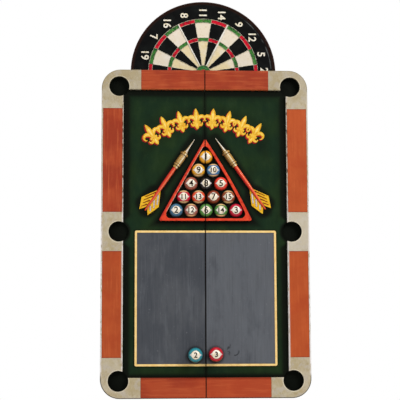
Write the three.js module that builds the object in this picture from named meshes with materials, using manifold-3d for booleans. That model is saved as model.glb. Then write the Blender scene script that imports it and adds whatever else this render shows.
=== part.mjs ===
// A wall cabinet for a dartboard. Its two doors are faced like a small pool table: cream castings and
// orange rails around a green field, six pockets, a rack of balls, two darts and a chalkboard. Half a
// painted dartboard stands on the top as a crest, and the working dartboard hangs inside.
//
// Millimetres. +X is to the viewer's right, +Z is up and the front faces -Y. The origin is on the wall,
// behind the middle of the doors.

import * as THREE from 'three';
import { mergeVertices } from 'three/addons/utils/BufferGeometryUtils.js';
import Module from 'manifold-3d';

const wasm = await Module();
wasm.setup();

// ---------------------------------------------------------------- driving dimensions

const FIT_GAP = 0.3; // between two pieces fixed to each other
const CUT_MARGIN = 1; // how far a cutter runs past the face it opens

// Case
const CASE_WIDTH = 519;
const CASE_HEIGHT = 745;
const CASE_DEPTH = 70;
const CASE_WALL = 15;
const BACK_THICKNESS = 9;

// Doors
const DOORS_WIDTH = 535;
const DOOR_HEIGHT = 845;
const DOOR_THICKNESS = 15.5;
const DOOR_CORNER_RADIUS = 49;
const DOOR_STANDOFF = 3; // room for the hinge leaves between case and door
const SEAM_WIDTH = 1.2;

// Table rails on the doors
const RAIL_THICKNESS = 9.2;
const SIDE_RAIL_WIDTH = 58;
const END_RAIL_WIDTH = 52;
const OUTER_STRIP_WIDTH = 3.5;
const INNER_STRIP_WIDTH = 3.5;
const CORNER_CASTING_REACH = 102;
const MIDDLE_CASTING_HEIGHT = 100;
const POCKET_RADIUS = 25.5;
const POCKET_DEPTH_IN_DOOR = 8;
const POCKET_FROM_SIDE = 45.5;
const POCKET_FROM_END = 44;

// Chalkboard
const CHALK_HALF_WIDTH = 182;
const CHALK_TOP = 3;
const CHALK_BOTTOM = -342;
const CHALK_BORDER = 6.8;
const CHALK_THICKNESS = 2.2;
const CHALK_BORDER_RISE = 0.9;

// Rack and balls
const RACK_APEX_HEIGHT = 241.5;
const RACK_BASE_HEIGHT = 28;
const RACK_HALF_WIDTH = 119;
const RACK_BAR_WIDTH = 6.2;
const RACK_THICKNESS = 9;
const RACK_CORNER_CUT = 5;
const BALL_RADIUS = 16.6;
const BALL_RISE = 14.5;
const BALL_SPACING = 38.5;
const BALL_ROW_SPACING = 34.65;
const BALL_TOP_ROW_HEIGHT = 194;
const BALL_NAMES_BY_ROW = [
  ['ball_1'],
  ['ball_9', 'ball_10'],
  ['ball_4', 'ball_8', 'ball_5'],
  ['ball_11', 'ball_13', 'ball_7', 'ball_15'],
  ['ball_2', 'ball_12', 'ball_6', 'ball_14', 'ball_3'],
];

// Ornamental darts, each measured from its point along its own axis
const DART_POINT = [26.7, 242];
const DART_TAIL = [156, 55];
const DART_NEEDLE_LENGTH = 46;
const DART_NEEDLE_RADIUS = 5;
const DART_FRONT_COLLAR_RADIUS = 10.4;
const DART_FRONT_COLLAR_LENGTH = 7;
const DART_BARREL_RADIUS = 7.8;
const DART_BARREL_LENGTH = 26;
const DART_REAR_COLLAR_RADIUS = 8.6;
const DART_REAR_COLLAR_LENGTH = 5;
const DART_SLEEVE_RADIUS = 6.6;
const DART_SLEEVE_LENGTH = 6;
const DART_SHAFT_RADIUS = 5.8;
const DART_TAPER_START = 145;
const DART_END = 226;
const DART_END_RADIUS = 2;
const DART_AXIS_RISE = 3; // of the axis over the face of the field
const FLIGHT_THICKNESS = 3.5;
const FLIGHT_OUTLINE = [
  [121, 110],
  [163.6, 91.2],
  [169.8, 59.7],
  [153.1, 65.6],
  [156, 55.1],
  [149.1, 59.4],
  [148.4, 44.2],
  [119.8, 65],
  [114.8, 107],
];

// Knobs
const KNOB_FROM_SEAM = 26;
const KNOB_HEIGHT = -313.5;
const KNOB_RADIUS = 18.8;
const KNOB_NECK_RADIUS = 6.5;
const KNOB_FOOT_RADIUS = 8.5;
const KNOB_FOOT_HEIGHT = 2.5;
const KNOB_CENTRE_RISE = 23;

// Crest
const CREST_RADIUS = 193.7;
const CREST_CENTRE_HEIGHT = 435.1;
const CREST_THICKNESS = 18;

// Dartboard inside
const BOARD_RADIUS = 225.5;
const BOARD_HEIGHT = 115;
const BOARD_BACK = 20; // from the wall to the back of the board
const BOARD_THICKNESS = 36;
const BAND_THICKNESS = 2.2;
const WIRE_WIDTH = 1.6;
const DOUBLE_OUTER_RADIUS = 170;
const DOUBLE_INNER_RADIUS = 162;
const TRIPLE_OUTER_RADIUS = 107;
const TRIPLE_INNER_RADIUS = 99;
const OUTER_BULL_RADIUS = 15.9;
const NUMBER_RING_RADIUS = 215;
const SECTORS = 20;

// Bracket and screw that carry the dartboard
const BRACKET_WIDTH = 48;
const BRACKET_HEIGHT = 64;
const BRACKET_DEPTH = 8.5;
const BRACKET_METAL = 1.8;
const BRACKET_BELOW_SCREW = 20;
const SCREW_RADIUS = 3;
const SCREW_HEAD_RADIUS = 8;
const SCREW_HEAD_THICKNESS = 2.6;
const SCREW_DEPTH_IN_BOARD = 14;
const SCREW_CLEARANCE = 0.5;

// Hinges, one long one to each door
const HINGE_FROM_CASE = 4.5; // pin axis outboard of the case
const HINGE_LENGTH = 720;
const HINGE_KNUCKLES = 12;
const KNUCKLE_RADIUS = 3.2;
const KNUCKLE_BORE_RADIUS = 1.6;
const KNUCKLE_END_GAP = 0.6;
const PIN_RADIUS = 1.2;
const LEAF_THICKNESS = 0.9;
const LEAF_START = 4; // from the pin axis, clear of the other leaf's knuckles
const LEAF_END = 18;
const HINGE_REBATE_WIDTH = 8.3; // of the door's back edge, cut away around the knuckles
const HINGE_REBATE_DEPTH = 2.8;

// Dart holders on the backs of the doors
const HOLDER_WIDTH = 130;
const HOLDER_FROM_SEAM = 125;
const HOLDER_HEIGHT = -185;
const HOLDER_SHELF_THICKNESS = 12;
const HOLDER_SHELF_DEPTH = 28;
const HOLDER_BACK_HEIGHT = 40;
const HOLDER_BACK_THICKNESS = 8;
const HOLDER_NOTCH_WIDTH = 9;
const HOLDER_NOTCH_DEPTH = 16;
const HOLDER_NOTCH_SPACING = 38;
const HOLDER_NOTCHES = 3;

// Keyhole plates let into the back
const HANGER_FROM_CENTRE = 200;
const HANGER_HEIGHT = 320;
const HANGER_WIDTH = 22;
const HANGER_LENGTH = 44;
const HANGER_THICKNESS = 2;
const HANGER_HEAD_RADIUS = 5.5;
const HANGER_SLOT_WIDTH = 5;
const HANGER_SLOT_RISE = 12;
const HANGER_POCKET_WIDTH = 14;
const HANGER_POCKET_LENGTH = 28;
const HANGER_POCKET_DEPTH = 7;

// ---------------------------------------------------------------- places worked out from them

const SIDES = [
  { name: 'left', sign: -1 },
  { name: 'right', sign: 1 },
];
const DOOR_BACK = -(CASE_DEPTH + DOOR_STANDOFF);
const FIELD_FACE = DOOR_BACK - DOOR_THICKNESS;
const FACING_BACK = FIELD_FACE - FIT_GAP; // the back of what is fixed to the field
const CHALK_FACE = FACING_BACK - CHALK_THICKNESS;
const SEAM_EDGE = SEAM_WIDTH / 2;
const DOOR_EDGE = DOORS_WIDTH / 2;
const DOOR_TOP = DOOR_HEIGHT / 2;
const FIELD_EDGE = DOOR_EDGE - SIDE_RAIL_WIDTH;
const FIELD_TOP = DOOR_TOP - END_RAIL_WIDTH;
const POCKET_X = DOOR_EDGE - POCKET_FROM_SIDE;
const POCKET_Z = DOOR_TOP - POCKET_FROM_END;
const CASTING_X = DOOR_EDGE - CORNER_CASTING_REACH;
const CASTING_Z = DOOR_TOP - CORNER_CASTING_REACH;
const HINGE_X = CASE_WIDTH / 2 + HINGE_FROM_CASE;
const HINGE_Y = -(CASE_DEPTH + DOOR_STANDOFF / 2);

// The two values, lowest first.
function ordered(a, b) {
  return [Math.min(a, b), Math.max(a, b)];
}

// ---------------------------------------------------------------- solids

// A closed solid from any closed geometry, without the slivers left where vertices meet on an axis.
function solidFrom(geometry) {
  geometry.deleteAttribute('normal');
  geometry.deleteAttribute('uv');
  const merged = mergeVertices(geometry, 1e-4);
  const index = merged.index.array;
  const triangles = [];
  for (let i = 0; i < index.length; i += 3) {
    const [a, b, c] = [index[i], index[i + 1], index[i + 2]];
    if (a !== b && b !== c && c !== a) triangles.push(a, b, c);
  }
  const vertProperties = new Float32Array(merged.attributes.position.array);
  const triVerts = new Uint32Array(triangles);
  return new wasm.Manifold(new wasm.Mesh({ numProp: 3, vertProperties, triVerts }));
}

function geometryFrom(solid) {
  const mesh = solid.getMesh();
  const geometry = new THREE.BufferGeometry();
  geometry.setAttribute('position', new THREE.BufferAttribute(mesh.vertProperties, 3));
  geometry.setIndex(new THREE.BufferAttribute(mesh.triVerts, 1));
  geometry.computeVertexNormals();
  return geometry;
}

// A flat plate cut to an outline in X and Z, with its back at y = 0 and its front at y = -thickness.
function plate(shape, thickness, curveSegments = 8) {
  const settings = { depth: thickness, bevelEnabled: false, curveSegments };
  const geometry = new THREE.ExtrudeGeometry(shape, settings);
  geometry.rotateX(Math.PI / 2);
  return solidFrom(geometry);
}

function outline(points) {
  return new THREE.Shape(points.map(([x, z]) => new THREE.Vector2(x, z)));
}

// A box from its lowest and highest corners.
function block([x0, y0, z0], [x1, y1, z1]) {
  const geometry = new THREE.BoxGeometry(x1 - x0, y1 - y0, z1 - z0);
  geometry.translate((x0 + x1) / 2, (y0 + y1) / 2, (z0 + z1) / 2);
  return solidFrom(geometry);
}

// A solid turned about the Y axis, from [radius, distance in front of the wall side] pairs.
function turned(profile, segments) {
  const geometry = new THREE.LatheGeometry(
    profile.map(([radius, forward]) => new THREE.Vector2(radius, forward)),
    segments,
  );
  geometry.rotateX(Math.PI);
  return solidFrom(geometry);
}

// A round disc on the Y axis, from y = 0 to y = -thickness.
function disc(radius, thickness, segments) {
  return turned([[0, 0], [radius, 0], [radius, thickness], [0, thickness]], segments);
}

function ring(outerRadius, innerRadius, thickness, segments) {
  const hole = disc(innerRadius, thickness + 2 * CUT_MARGIN, segments).translate([0, CUT_MARGIN, 0]);
  return disc(outerRadius, thickness, segments).subtract(hole);
}

// A rod along Z, centred on the origin.
function rod(radius, length, sides) {
  const geometry = new THREE.CylinderGeometry(radius, radius, length, sides);
  geometry.rotateX(Math.PI / 2);
  return solidFrom(geometry);
}

// ---------------------------------------------------------------- finishes

const finishes = {
  caseWood: () => finish(0x2b2a26, 0.6),
  feltGreen: () => finish(0x1e3221, 0.75),
  railOrange: () => finish(0xb44d2e, 0.45),
  castingCream: () => finish(0xc4ba9c, 0.5),
  slate: () => finish(0x606468, 0.85),
  rackRed: () => finish(0xc23a22, 0.45),
  crestBlack: () => finish(0x1a1a18, 0.6),
  sisal: () => finish(0x23221f, 0.9),
  steel: () => finish(0xb9bcc0, 0.3, 0.9),
  blackSteel: () => finish(0x222326, 0.4, 0.7),
  brass: () => finish(0xb8923f, 0.35, 0.9),
  holderWood: () => finish(0x4a2a18, 0.5),
  dartGold: () => finish(0xd09a3c, 0.4, 0.3),
  knobTeal: () => finish(0x1f7d84, 0.2),
  knobRed: () => finish(0xc4202c, 0.2),
};

function finish(color, roughness, metalness = 0) {
  return new THREE.MeshStandardMaterial({ color, roughness, metalness });
}

const BALL_ROUGHNESS = 0.25;
const BALL_COLOURS = {
  ball_1: 0xe9b52b,
  ball_2: 0x2c4f9e,
  ball_3: 0xc4202c,
  ball_4: 0x7a4a5c,
  ball_5: 0xd9552b,
  ball_6: 0x2f7d48,
  ball_7: 0x7b3a2a,
  ball_8: 0x17171a,
  ball_9: 0xe9c44f,
  ball_10: 0x3f66b0,
  ball_11: 0xc9414a,
  ball_12: 0x84586e,
  ball_13: 0xdc7b3a,
  ball_14: 0x4c8f5c,
  ball_15: 0x9a4634,
};

function part(name, solid, material, [x, y, z] = [0, 0, 0]) {
  const mesh = new THREE.Mesh(geometryFrom(solid), material);
  mesh.name = name;
  mesh.position.set(x, y, z);
  return mesh;
}

// ---------------------------------------------------------------- case

// The back has a shallow bed for each keyhole plate and a deeper pocket for the head of its screw.
function backPanel() {
  const halfWidth = CASE_WIDTH / 2;
  const halfHeight = CASE_HEIGHT / 2;
  let panel = block([-halfWidth, -BACK_THICKNESS, -halfHeight], [halfWidth, 0, halfHeight]);
  for (const { sign } of SIDES) {
    const bedWidth = HANGER_WIDTH + 2 * FIT_GAP;
    const bedLength = HANGER_LENGTH + 2 * FIT_GAP;
    const bed = hangerBox(bedWidth, bedLength, HANGER_THICKNESS + FIT_GAP);
    const pocket = hangerBox(HANGER_POCKET_WIDTH, HANGER_POCKET_LENGTH, HANGER_POCKET_DEPTH);
    const place = [sign * HANGER_FROM_CENTRE, 0, HANGER_HEIGHT];
    panel = panel.subtract(bed.add(pocket).translate(place));
  }
  return part('back_panel', panel, finishes.caseWood());
}

// A box about the middle of a keyhole plate, open past the wall side of the back.
function hangerBox(width, length, depth) {
  return block([-width / 2, -depth, -length / 2], [width / 2, CUT_MARGIN, length / 2]);
}

// A keyhole: a round hole for the screw's head, and a narrow slot above it that the shank slides up.
function hangerPlate({ name, sign }) {
  const body = block(
    [-HANGER_WIDTH / 2, -HANGER_THICKNESS, -HANGER_LENGTH / 2],
    [HANGER_WIDTH / 2, 0, HANGER_LENGTH / 2],
  );
  const cutDepth = HANGER_THICKNESS + 2 * CUT_MARGIN;
  const head = disc(HANGER_HEAD_RADIUS, cutDepth, 16).translate([0, CUT_MARGIN, -HANGER_SLOT_RISE / 2]);
  const slot = block(
    [-HANGER_SLOT_WIDTH / 2, -cutDepth, -HANGER_SLOT_RISE / 2],
    [HANGER_SLOT_WIDTH / 2, CUT_MARGIN, HANGER_SLOT_RISE],
  );
  const place = [sign * HANGER_FROM_CENTRE, 0, HANGER_HEIGHT];
  return part(`${name}_hanger_plate`, body.subtract(head.add(slot)), finishes.steel(), place);
}

function casePanels() {
  const front = -CASE_DEPTH;
  const back = -(BACK_THICKNESS + FIT_GAP);
  const halfHeight = CASE_HEIGHT / 2;
  const innerEdge = CASE_WIDTH / 2 - CASE_WALL;
  const endReach = innerEdge - FIT_GAP;
  const sides = SIDES.map(({ name, sign }) => {
    const [low, high] = ordered(innerEdge * sign, (CASE_WIDTH / 2) * sign);
    const panel = block([low, front, -halfHeight], [high, back, halfHeight]);
    return part(`${name}_side_panel`, panel, finishes.caseWood());
  });
  const top = block([-endReach, front, halfHeight - CASE_WALL], [endReach, back, halfHeight]);
  const bottom = block([-endReach, front, -halfHeight], [endReach, back, CASE_WALL - halfHeight]);
  return [
    ...sides,
    part('top_panel', top, finishes.caseWood()),
    part('bottom_panel', bottom, finishes.caseWood()),
  ];
}

// A half round board on a straight-sided foot that stands on the case.
function crestBoard() {
  const foot = CASE_HEIGHT / 2 + FIT_GAP;
  const shape = new THREE.Shape();
  shape.moveTo(-CREST_RADIUS, foot);
  shape.lineTo(CREST_RADIUS, foot);
  shape.lineTo(CREST_RADIUS, CREST_CENTRE_HEIGHT);
  shape.absarc(0, CREST_CENTRE_HEIGHT, CREST_RADIUS, 0, Math.PI, false);
  return part('crest_board', plate(shape, CREST_THICKNESS, 36), finishes.crestBlack());
}

// ---------------------------------------------------------------- dartboard

// A folded steel channel, open at the top, whose front lips leave a slot for the screw's neck.
function boardBracket() {
  const bottom = -BRACKET_BELOW_SCREW;
  const top = bottom + BRACKET_HEIGHT;
  const half = BRACKET_WIDTH / 2;
  const body = block([-half, -BRACKET_DEPTH, bottom], [half, 0, top]);
  const channel = block(
    [BRACKET_METAL - half, BRACKET_METAL - BRACKET_DEPTH, bottom + BRACKET_METAL],
    [half - BRACKET_METAL, -BRACKET_METAL, top + CUT_MARGIN],
  );
  const slotHalf = SCREW_RADIUS + SCREW_CLEARANCE;
  const slot = block(
    [-slotHalf, -BRACKET_DEPTH - CUT_MARGIN, 0],
    [slotHalf, -2 * BRACKET_METAL, top + CUT_MARGIN],
  );
  const slotEnd = disc(slotHalf, BRACKET_DEPTH, 12).translate([0, -2 * BRACKET_METAL, 0]);
  const solid = body.subtract(channel).subtract(slot).subtract(slotEnd);
  const place = [0, -(BACK_THICKNESS + FIT_GAP), BOARD_HEIGHT];
  return part('board_bracket', solid, finishes.blackSteel(), place);
}

function dartboardParts() {
  const place = [0, -BOARD_BACK, BOARD_HEIGHT];
  const bedRadius = BOARD_RADIUS - BAND_THICKNESS - FIT_GAP;
  const screwHole = disc(SCREW_RADIUS + SCREW_CLEARANCE, SCREW_DEPTH_IN_BOARD + CUT_MARGIN, 12);
  const bed = disc(bedRadius, BOARD_THICKNESS, 40).subtract(screwHole.translate([0, CUT_MARGIN / 2, 0]));
  const band = ring(BOARD_RADIUS, BOARD_RADIUS - BAND_THICKNESS, BOARD_THICKNESS, 40);
  const facePlace = [0, -(BOARD_BACK + BOARD_THICKNESS + FIT_GAP), BOARD_HEIGHT];
  const numberRing = ring(NUMBER_RING_RADIUS, NUMBER_RING_RADIUS - 2 * WIRE_WIDTH, WIRE_WIDTH, 40);
  return [
    part('sisal_bed', bed, finishes.sisal(), place),
    part('steel_band', band, finishes.blackSteel(), place),
    part('spider', spider(), finishes.steel(), facePlace),
    part('number_ring', numberRing, finishes.steel(), facePlace),
    centreScrew(),
  ];
}

// The wire web of the scoring bed: five rings joined by twenty spokes, which run on the lines between
// the sectors. Each ring is straight from spoke to spoke.
function spider() {
  const ringRadii = [
    DOUBLE_OUTER_RADIUS,
    DOUBLE_INNER_RADIUS,
    TRIPLE_OUTER_RADIUS,
    TRIPLE_INNER_RADIUS,
    OUTER_BULL_RADIUS,
  ];
  const step = (2 * Math.PI) / SECTORS;
  let web = null;
  for (const radius of ringRadii) {
    const wire = ring(radius + WIRE_WIDTH / 2, radius - WIRE_WIDTH / 2, WIRE_WIDTH, SECTORS);
    web = web ? web.add(wire) : wire;
  }
  const spokeLength = DOUBLE_OUTER_RADIUS - OUTER_BULL_RADIUS;
  for (let i = 0; i < SECTORS; i += 1) {
    const geometry = new THREE.BoxGeometry(WIRE_WIDTH, WIRE_WIDTH, spokeLength);
    geometry.translate(0, -WIRE_WIDTH / 2, OUTER_BULL_RADIUS + spokeLength / 2);
    geometry.rotateY(i * step);
    web = web.add(solidFrom(geometry));
  }
  return web.rotate([0, (step / 2) * THREE.MathUtils.RAD2DEG, 0]);
}

// The screw in the middle of the board's back, with its head inside the bracket's channel.
function centreScrew() {
  const headBack = BACK_THICKNESS + FIT_GAP + BRACKET_METAL + SCREW_CLEARANCE;
  const headFront = SCREW_HEAD_THICKNESS;
  const tip = BOARD_BACK - headBack + SCREW_DEPTH_IN_BOARD - FIT_GAP;
  const profile = [
    [0, 0],
    [SCREW_HEAD_RADIUS, 0],
    [SCREW_HEAD_RADIUS, headFront],
    [SCREW_RADIUS, headFront],
    [SCREW_RADIUS, tip],
    [0, tip],
  ];
  return part('centre_screw', turned(profile, 12), finishes.steel(), [0, -headBack, BOARD_HEIGHT]);
}

// ---------------------------------------------------------------- doors

// Half of the doors' rounded outline: straight at the seam, round at the two outer corners.
function doorOutline(sign, seamEdge) {
  const corner = DOOR_CORNER_RADIUS;
  const straightX = DOOR_EDGE - corner;
  const straightZ = DOOR_TOP - corner;
  const points = [[seamEdge, -DOOR_TOP]];
  const steps = 8;
  for (const [endSign, startTurn] of [[-1, -Math.PI / 2], [1, 0]]) {
    for (let i = 0; i <= steps; i += 1) {
      const turn = startTurn + (i / steps) * (Math.PI / 2);
      points.push([straightX + corner * Math.cos(turn), endSign * straightZ + corner * Math.sin(turn)]);
    }
  }
  points.push([seamEdge, DOOR_TOP]);
  return points.map(([x, z]) => [sign * x, z]);
}

// The three pockets of one door, as one cutter from y = back to y = front.
function pocketCutter(sign, back, front) {
  const heights = [-POCKET_Z, 0, POCKET_Z];
  const cutters = heights.map((z) => (
    disc(POCKET_RADIUS, back - front, 24).translate([sign * POCKET_X, back, z])
  ));
  return cutters[0].add(cutters[1]).add(cutters[2]);
}

function doorPanel({ name, sign }) {
  const front = -DOOR_THICKNESS;
  const pockets = pocketCutter(sign, front + POCKET_DEPTH_IN_DOOR, front - CUT_MARGIN);
  const [low, high] = ordered(sign * (DOOR_EDGE + CUT_MARGIN), sign * (DOOR_EDGE - HINGE_REBATE_WIDTH));
  const rebate = block(
    [low, -HINGE_REBATE_DEPTH, -DOOR_TOP - CUT_MARGIN],
    [high, CUT_MARGIN, DOOR_TOP + CUT_MARGIN],
  );
  const slab = plate(outline(doorOutline(sign, SEAM_EDGE)), DOOR_THICKNESS);
  const solid = slab.subtract(pockets).subtract(rebate);
  return part(`${name}_door_panel`, solid, finishes.feltGreen(), [0, DOOR_BACK, 0]);
}

// The cream castings of one door, joined by the thin strips on both sides of the side rails.
function castingFrame({ name, sign }) {
  const shape = outline(doorOutline(sign, CASTING_X));
  const solid = plate(shape, RAIL_THICKNESS);
  const reach = CUT_MARGIN;
  const [x0, x1] = ordered(0, sign * FIELD_EDGE);
  const field = block([x0, -RAIL_THICKNESS - reach, -FIELD_TOP], [x1, reach, FIELD_TOP]);
  const windows = sideRailSpans().map(([low, high]) => sideRailBlock(sign, low, high, 0, reach));
  const pockets = pocketCutter(sign, reach, -RAIL_THICKNESS - reach);
  const cut = solid.subtract(field).subtract(pockets).subtract(windows[0]).subtract(windows[1]);
  return part(`${name}_casting_frame`, cut, finishes.castingCream(), [0, FACING_BACK, 0]);
}

// Heights of the two openings in a casting frame that the side rails fill.
function sideRailSpans() {
  const middle = MIDDLE_CASTING_HEIGHT / 2;
  return [[-CASTING_Z, -middle], [middle, CASTING_Z]];
}

// A block in the place of a side rail, smaller all round by gap and longer in Y by reach.
function sideRailBlock(sign, low, high, gap, reach) {
  const outer = DOOR_EDGE - OUTER_STRIP_WIDTH - gap;
  const inner = FIELD_EDGE + INNER_STRIP_WIDTH + gap;
  const [x0, x1] = ordered(sign * outer, sign * inner);
  return block([x0, -RAIL_THICKNESS - reach, low + gap], [x1, reach, high - gap]);
}

function rails({ name, sign }) {
  const [lowerSpan, upperSpan] = sideRailSpans();
  const [x0, x1] = ordered(sign * SEAM_EDGE, sign * (CASTING_X - FIT_GAP));
  const topRail = block([x0, -RAIL_THICKNESS, FIELD_TOP], [x1, 0, DOOR_TOP]);
  const bottomRail = block([x0, -RAIL_THICKNESS, -DOOR_TOP], [x1, 0, -FIELD_TOP]);
  const pieces = {
    top_rail: topRail,
    upper_side_rail: sideRailBlock(sign, ...upperSpan, FIT_GAP, 0),
    lower_side_rail: sideRailBlock(sign, ...lowerSpan, FIT_GAP, 0),
    bottom_rail: bottomRail,
  };
  return Object.entries(pieces).map(([piece, solid]) => (
    part(`${name}_${piece}`, solid, finishes.railOrange(), [0, FACING_BACK, 0])
  ));
}

// Half of the chalkboard, with a raised border on the three sides away from the seam.
function chalkPanel({ name, sign }) {
  const [x0, x1] = ordered(sign * SEAM_EDGE, sign * CHALK_HALF_WIDTH);
  const [h0, h1] = ordered(0, sign * (CHALK_HALF_WIDTH - CHALK_BORDER));
  const front = -(CHALK_THICKNESS + CHALK_BORDER_RISE);
  const body = block([x0, front, CHALK_BOTTOM], [x1, 0, CHALK_TOP]);
  const hollow = block(
    [h0, front - CUT_MARGIN, CHALK_BOTTOM + CHALK_BORDER],
    [h1, -CHALK_THICKNESS, CHALK_TOP - CHALK_BORDER],
  );
  return part(`${name}_chalk_panel`, body.subtract(hollow), finishes.slate(), [0, FACING_BACK, 0]);
}

// ---------------------------------------------------------------- rack, balls, darts and knobs

// The space in front of the field that belongs to one door.
function doorHalfSpace(sign) {
  const [x0, x1] = ordered(sign * SEAM_EDGE, sign * DOORS_WIDTH);
  return block([x0, -CASE_DEPTH, -DOOR_HEIGHT], [x1, 0, DOOR_HEIGHT]);
}

// Half of a triangular rack: one slanted bar and half of the base bar.
function rack({ name, sign }) {
  const rise = RACK_APEX_HEIGHT - RACK_BASE_HEIGHT;
  const slant = Math.hypot(rise, RACK_HALF_WIDTH);
  const innerApex = RACK_APEX_HEIGHT - (RACK_BAR_WIDTH * slant) / RACK_HALF_WIDTH;
  const innerBase = RACK_BASE_HEIGHT + RACK_BAR_WIDTH;
  const innerHalfWidth = ((innerApex - innerBase) * RACK_HALF_WIDTH) / rise;
  const cut = RACK_CORNER_CUT;
  const outer = outline([
    [-RACK_HALF_WIDTH + cut, RACK_BASE_HEIGHT],
    [RACK_HALF_WIDTH - cut, RACK_BASE_HEIGHT],
    [RACK_HALF_WIDTH, RACK_BASE_HEIGHT + cut],
    [cut / 2, RACK_APEX_HEIGHT],
    [-cut / 2, RACK_APEX_HEIGHT],
    [-RACK_HALF_WIDTH, RACK_BASE_HEIGHT + cut],
  ]);
  const inner = outline([
    [-innerHalfWidth, innerBase],
    [innerHalfWidth, innerBase],
    [0, innerApex],
  ]);
  const hole = plate(inner, RACK_THICKNESS + 2 * CUT_MARGIN).translate([0, CUT_MARGIN, 0]);
  const whole = plate(outer, RACK_THICKNESS).subtract(hole);
  const half = whole.intersect(doorHalfSpace(sign));
  return part(`${name}_rack_half`, half, finishes.rackRed(), [0, FACING_BACK, 0]);
}

// The front of a ball: a low dome on a flat back.
function ballDome() {
  const steps = 4;
  const profile = [[0, 0]];
  for (let i = 0; i <= steps; i += 1) {
    const turn = (i / steps) * (Math.PI / 2);
    profile.push([BALL_RADIUS * Math.cos(turn), BALL_RISE * Math.sin(turn)]);
  }
  profile[profile.length - 1][0] = 0;
  return turned(profile, 16);
}

// A ball on the seam is sawn in two, half for each door.
function ballParts() {
  const meshes = { left: [], right: [] };
  BALL_NAMES_BY_ROW.forEach((names, row) => {
    names.forEach((name, column) => {
      const x = (column - (names.length - 1) / 2) * BALL_SPACING;
      const place = [x, FACING_BACK, BALL_TOP_ROW_HEIGHT - row * BALL_ROW_SPACING];
      const owners = SIDES.filter(({ sign }) => sign * x >= 0);
      for (const side of owners) {
        const sawn = owners.length > 1;
        const solid = sawn ? ballDome().intersect(doorHalfSpace(side.sign)) : ballDome();
        const ballName = sawn ? `${name}_${side.name}_half` : name;
        meshes[side.name].push(part(ballName, solid, finish(BALL_COLOURS[name], BALL_ROUGHNESS), place));
      }
    });
  });
  return meshes;
}

// A dart in half relief, with its point up and towards the seam.
function dart({ name, sign }) {
  const barrelStart = DART_NEEDLE_LENGTH + DART_FRONT_COLLAR_LENGTH;
  const barrelEnd = barrelStart + DART_BARREL_LENGTH;
  const sleeveStart = barrelEnd + DART_REAR_COLLAR_LENGTH;
  const sleeveEnd = sleeveStart + DART_SLEEVE_LENGTH;
  const profile = [
    [0, 0],
    [DART_NEEDLE_RADIUS, DART_NEEDLE_LENGTH],
    [DART_FRONT_COLLAR_RADIUS, DART_NEEDLE_LENGTH],
    [DART_FRONT_COLLAR_RADIUS, barrelStart],
    [DART_BARREL_RADIUS, barrelStart],
    [DART_BARREL_RADIUS, barrelEnd],
    [DART_REAR_COLLAR_RADIUS, barrelEnd],
    [DART_REAR_COLLAR_RADIUS, sleeveStart],
    [DART_SLEEVE_RADIUS, sleeveStart],
    [DART_SLEEVE_RADIUS, sleeveEnd],
    [DART_SHAFT_RADIUS, sleeveEnd],
    [DART_SHAFT_RADIUS, DART_TAPER_START],
    [DART_END_RADIUS, DART_END],
    [0, DART_END],
  ];
  const points = profile.map(([radius, along]) => new THREE.Vector2(radius, along));
  const body = new THREE.LatheGeometry(points, 10);
  const towardsTail = new THREE.Vector3(
    sign * (DART_TAIL[0] - DART_POINT[0]),
    0,
    DART_TAIL[1] - DART_POINT[1],
  ).normalize();
  body.applyQuaternion(new THREE.Quaternion().setFromUnitVectors(new THREE.Vector3(0, 1, 0), towardsTail));
  body.translate(sign * DART_POINT[0], -DART_AXIS_RISE, DART_POINT[1]);
  const flight = plate(outline(FLIGHT_OUTLINE.map(([x, z]) => [sign * x, z])), FLIGHT_THICKNESS);
  const solid = solidFrom(body).intersect(doorHalfSpace(sign)).add(flight);
  return part(`${name}_dart`, solid, finishes.dartGold(), [0, FACING_BACK, 0]);
}

// A ball knob on a short neck.
function knob({ name, sign }) {
  const steps = 7;
  const neckTurn = Math.asin(KNOB_NECK_RADIUS / KNOB_RADIUS);
  const profile = [
    [0, 0],
    [KNOB_FOOT_RADIUS, 0],
    [KNOB_FOOT_RADIUS, KNOB_FOOT_HEIGHT],
    [KNOB_NECK_RADIUS, KNOB_FOOT_HEIGHT],
  ];
  for (let i = 0; i <= steps; i += 1) {
    const turn = neckTurn + (i / steps) * (Math.PI - neckTurn);
    profile.push([KNOB_RADIUS * Math.sin(turn), KNOB_CENTRE_RISE - KNOB_RADIUS * Math.cos(turn)]);
  }
  profile[profile.length - 1][0] = 0;
  const material = sign < 0 ? finishes.knobTeal() : finishes.knobRed();
  const place = [sign * KNOB_FROM_SEAM, CHALK_FACE - FIT_GAP, KNOB_HEIGHT];
  return part(`${name}_knob`, turned(profile, 16), material, place);
}

// ---------------------------------------------------------------- hinges and dart holders

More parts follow.
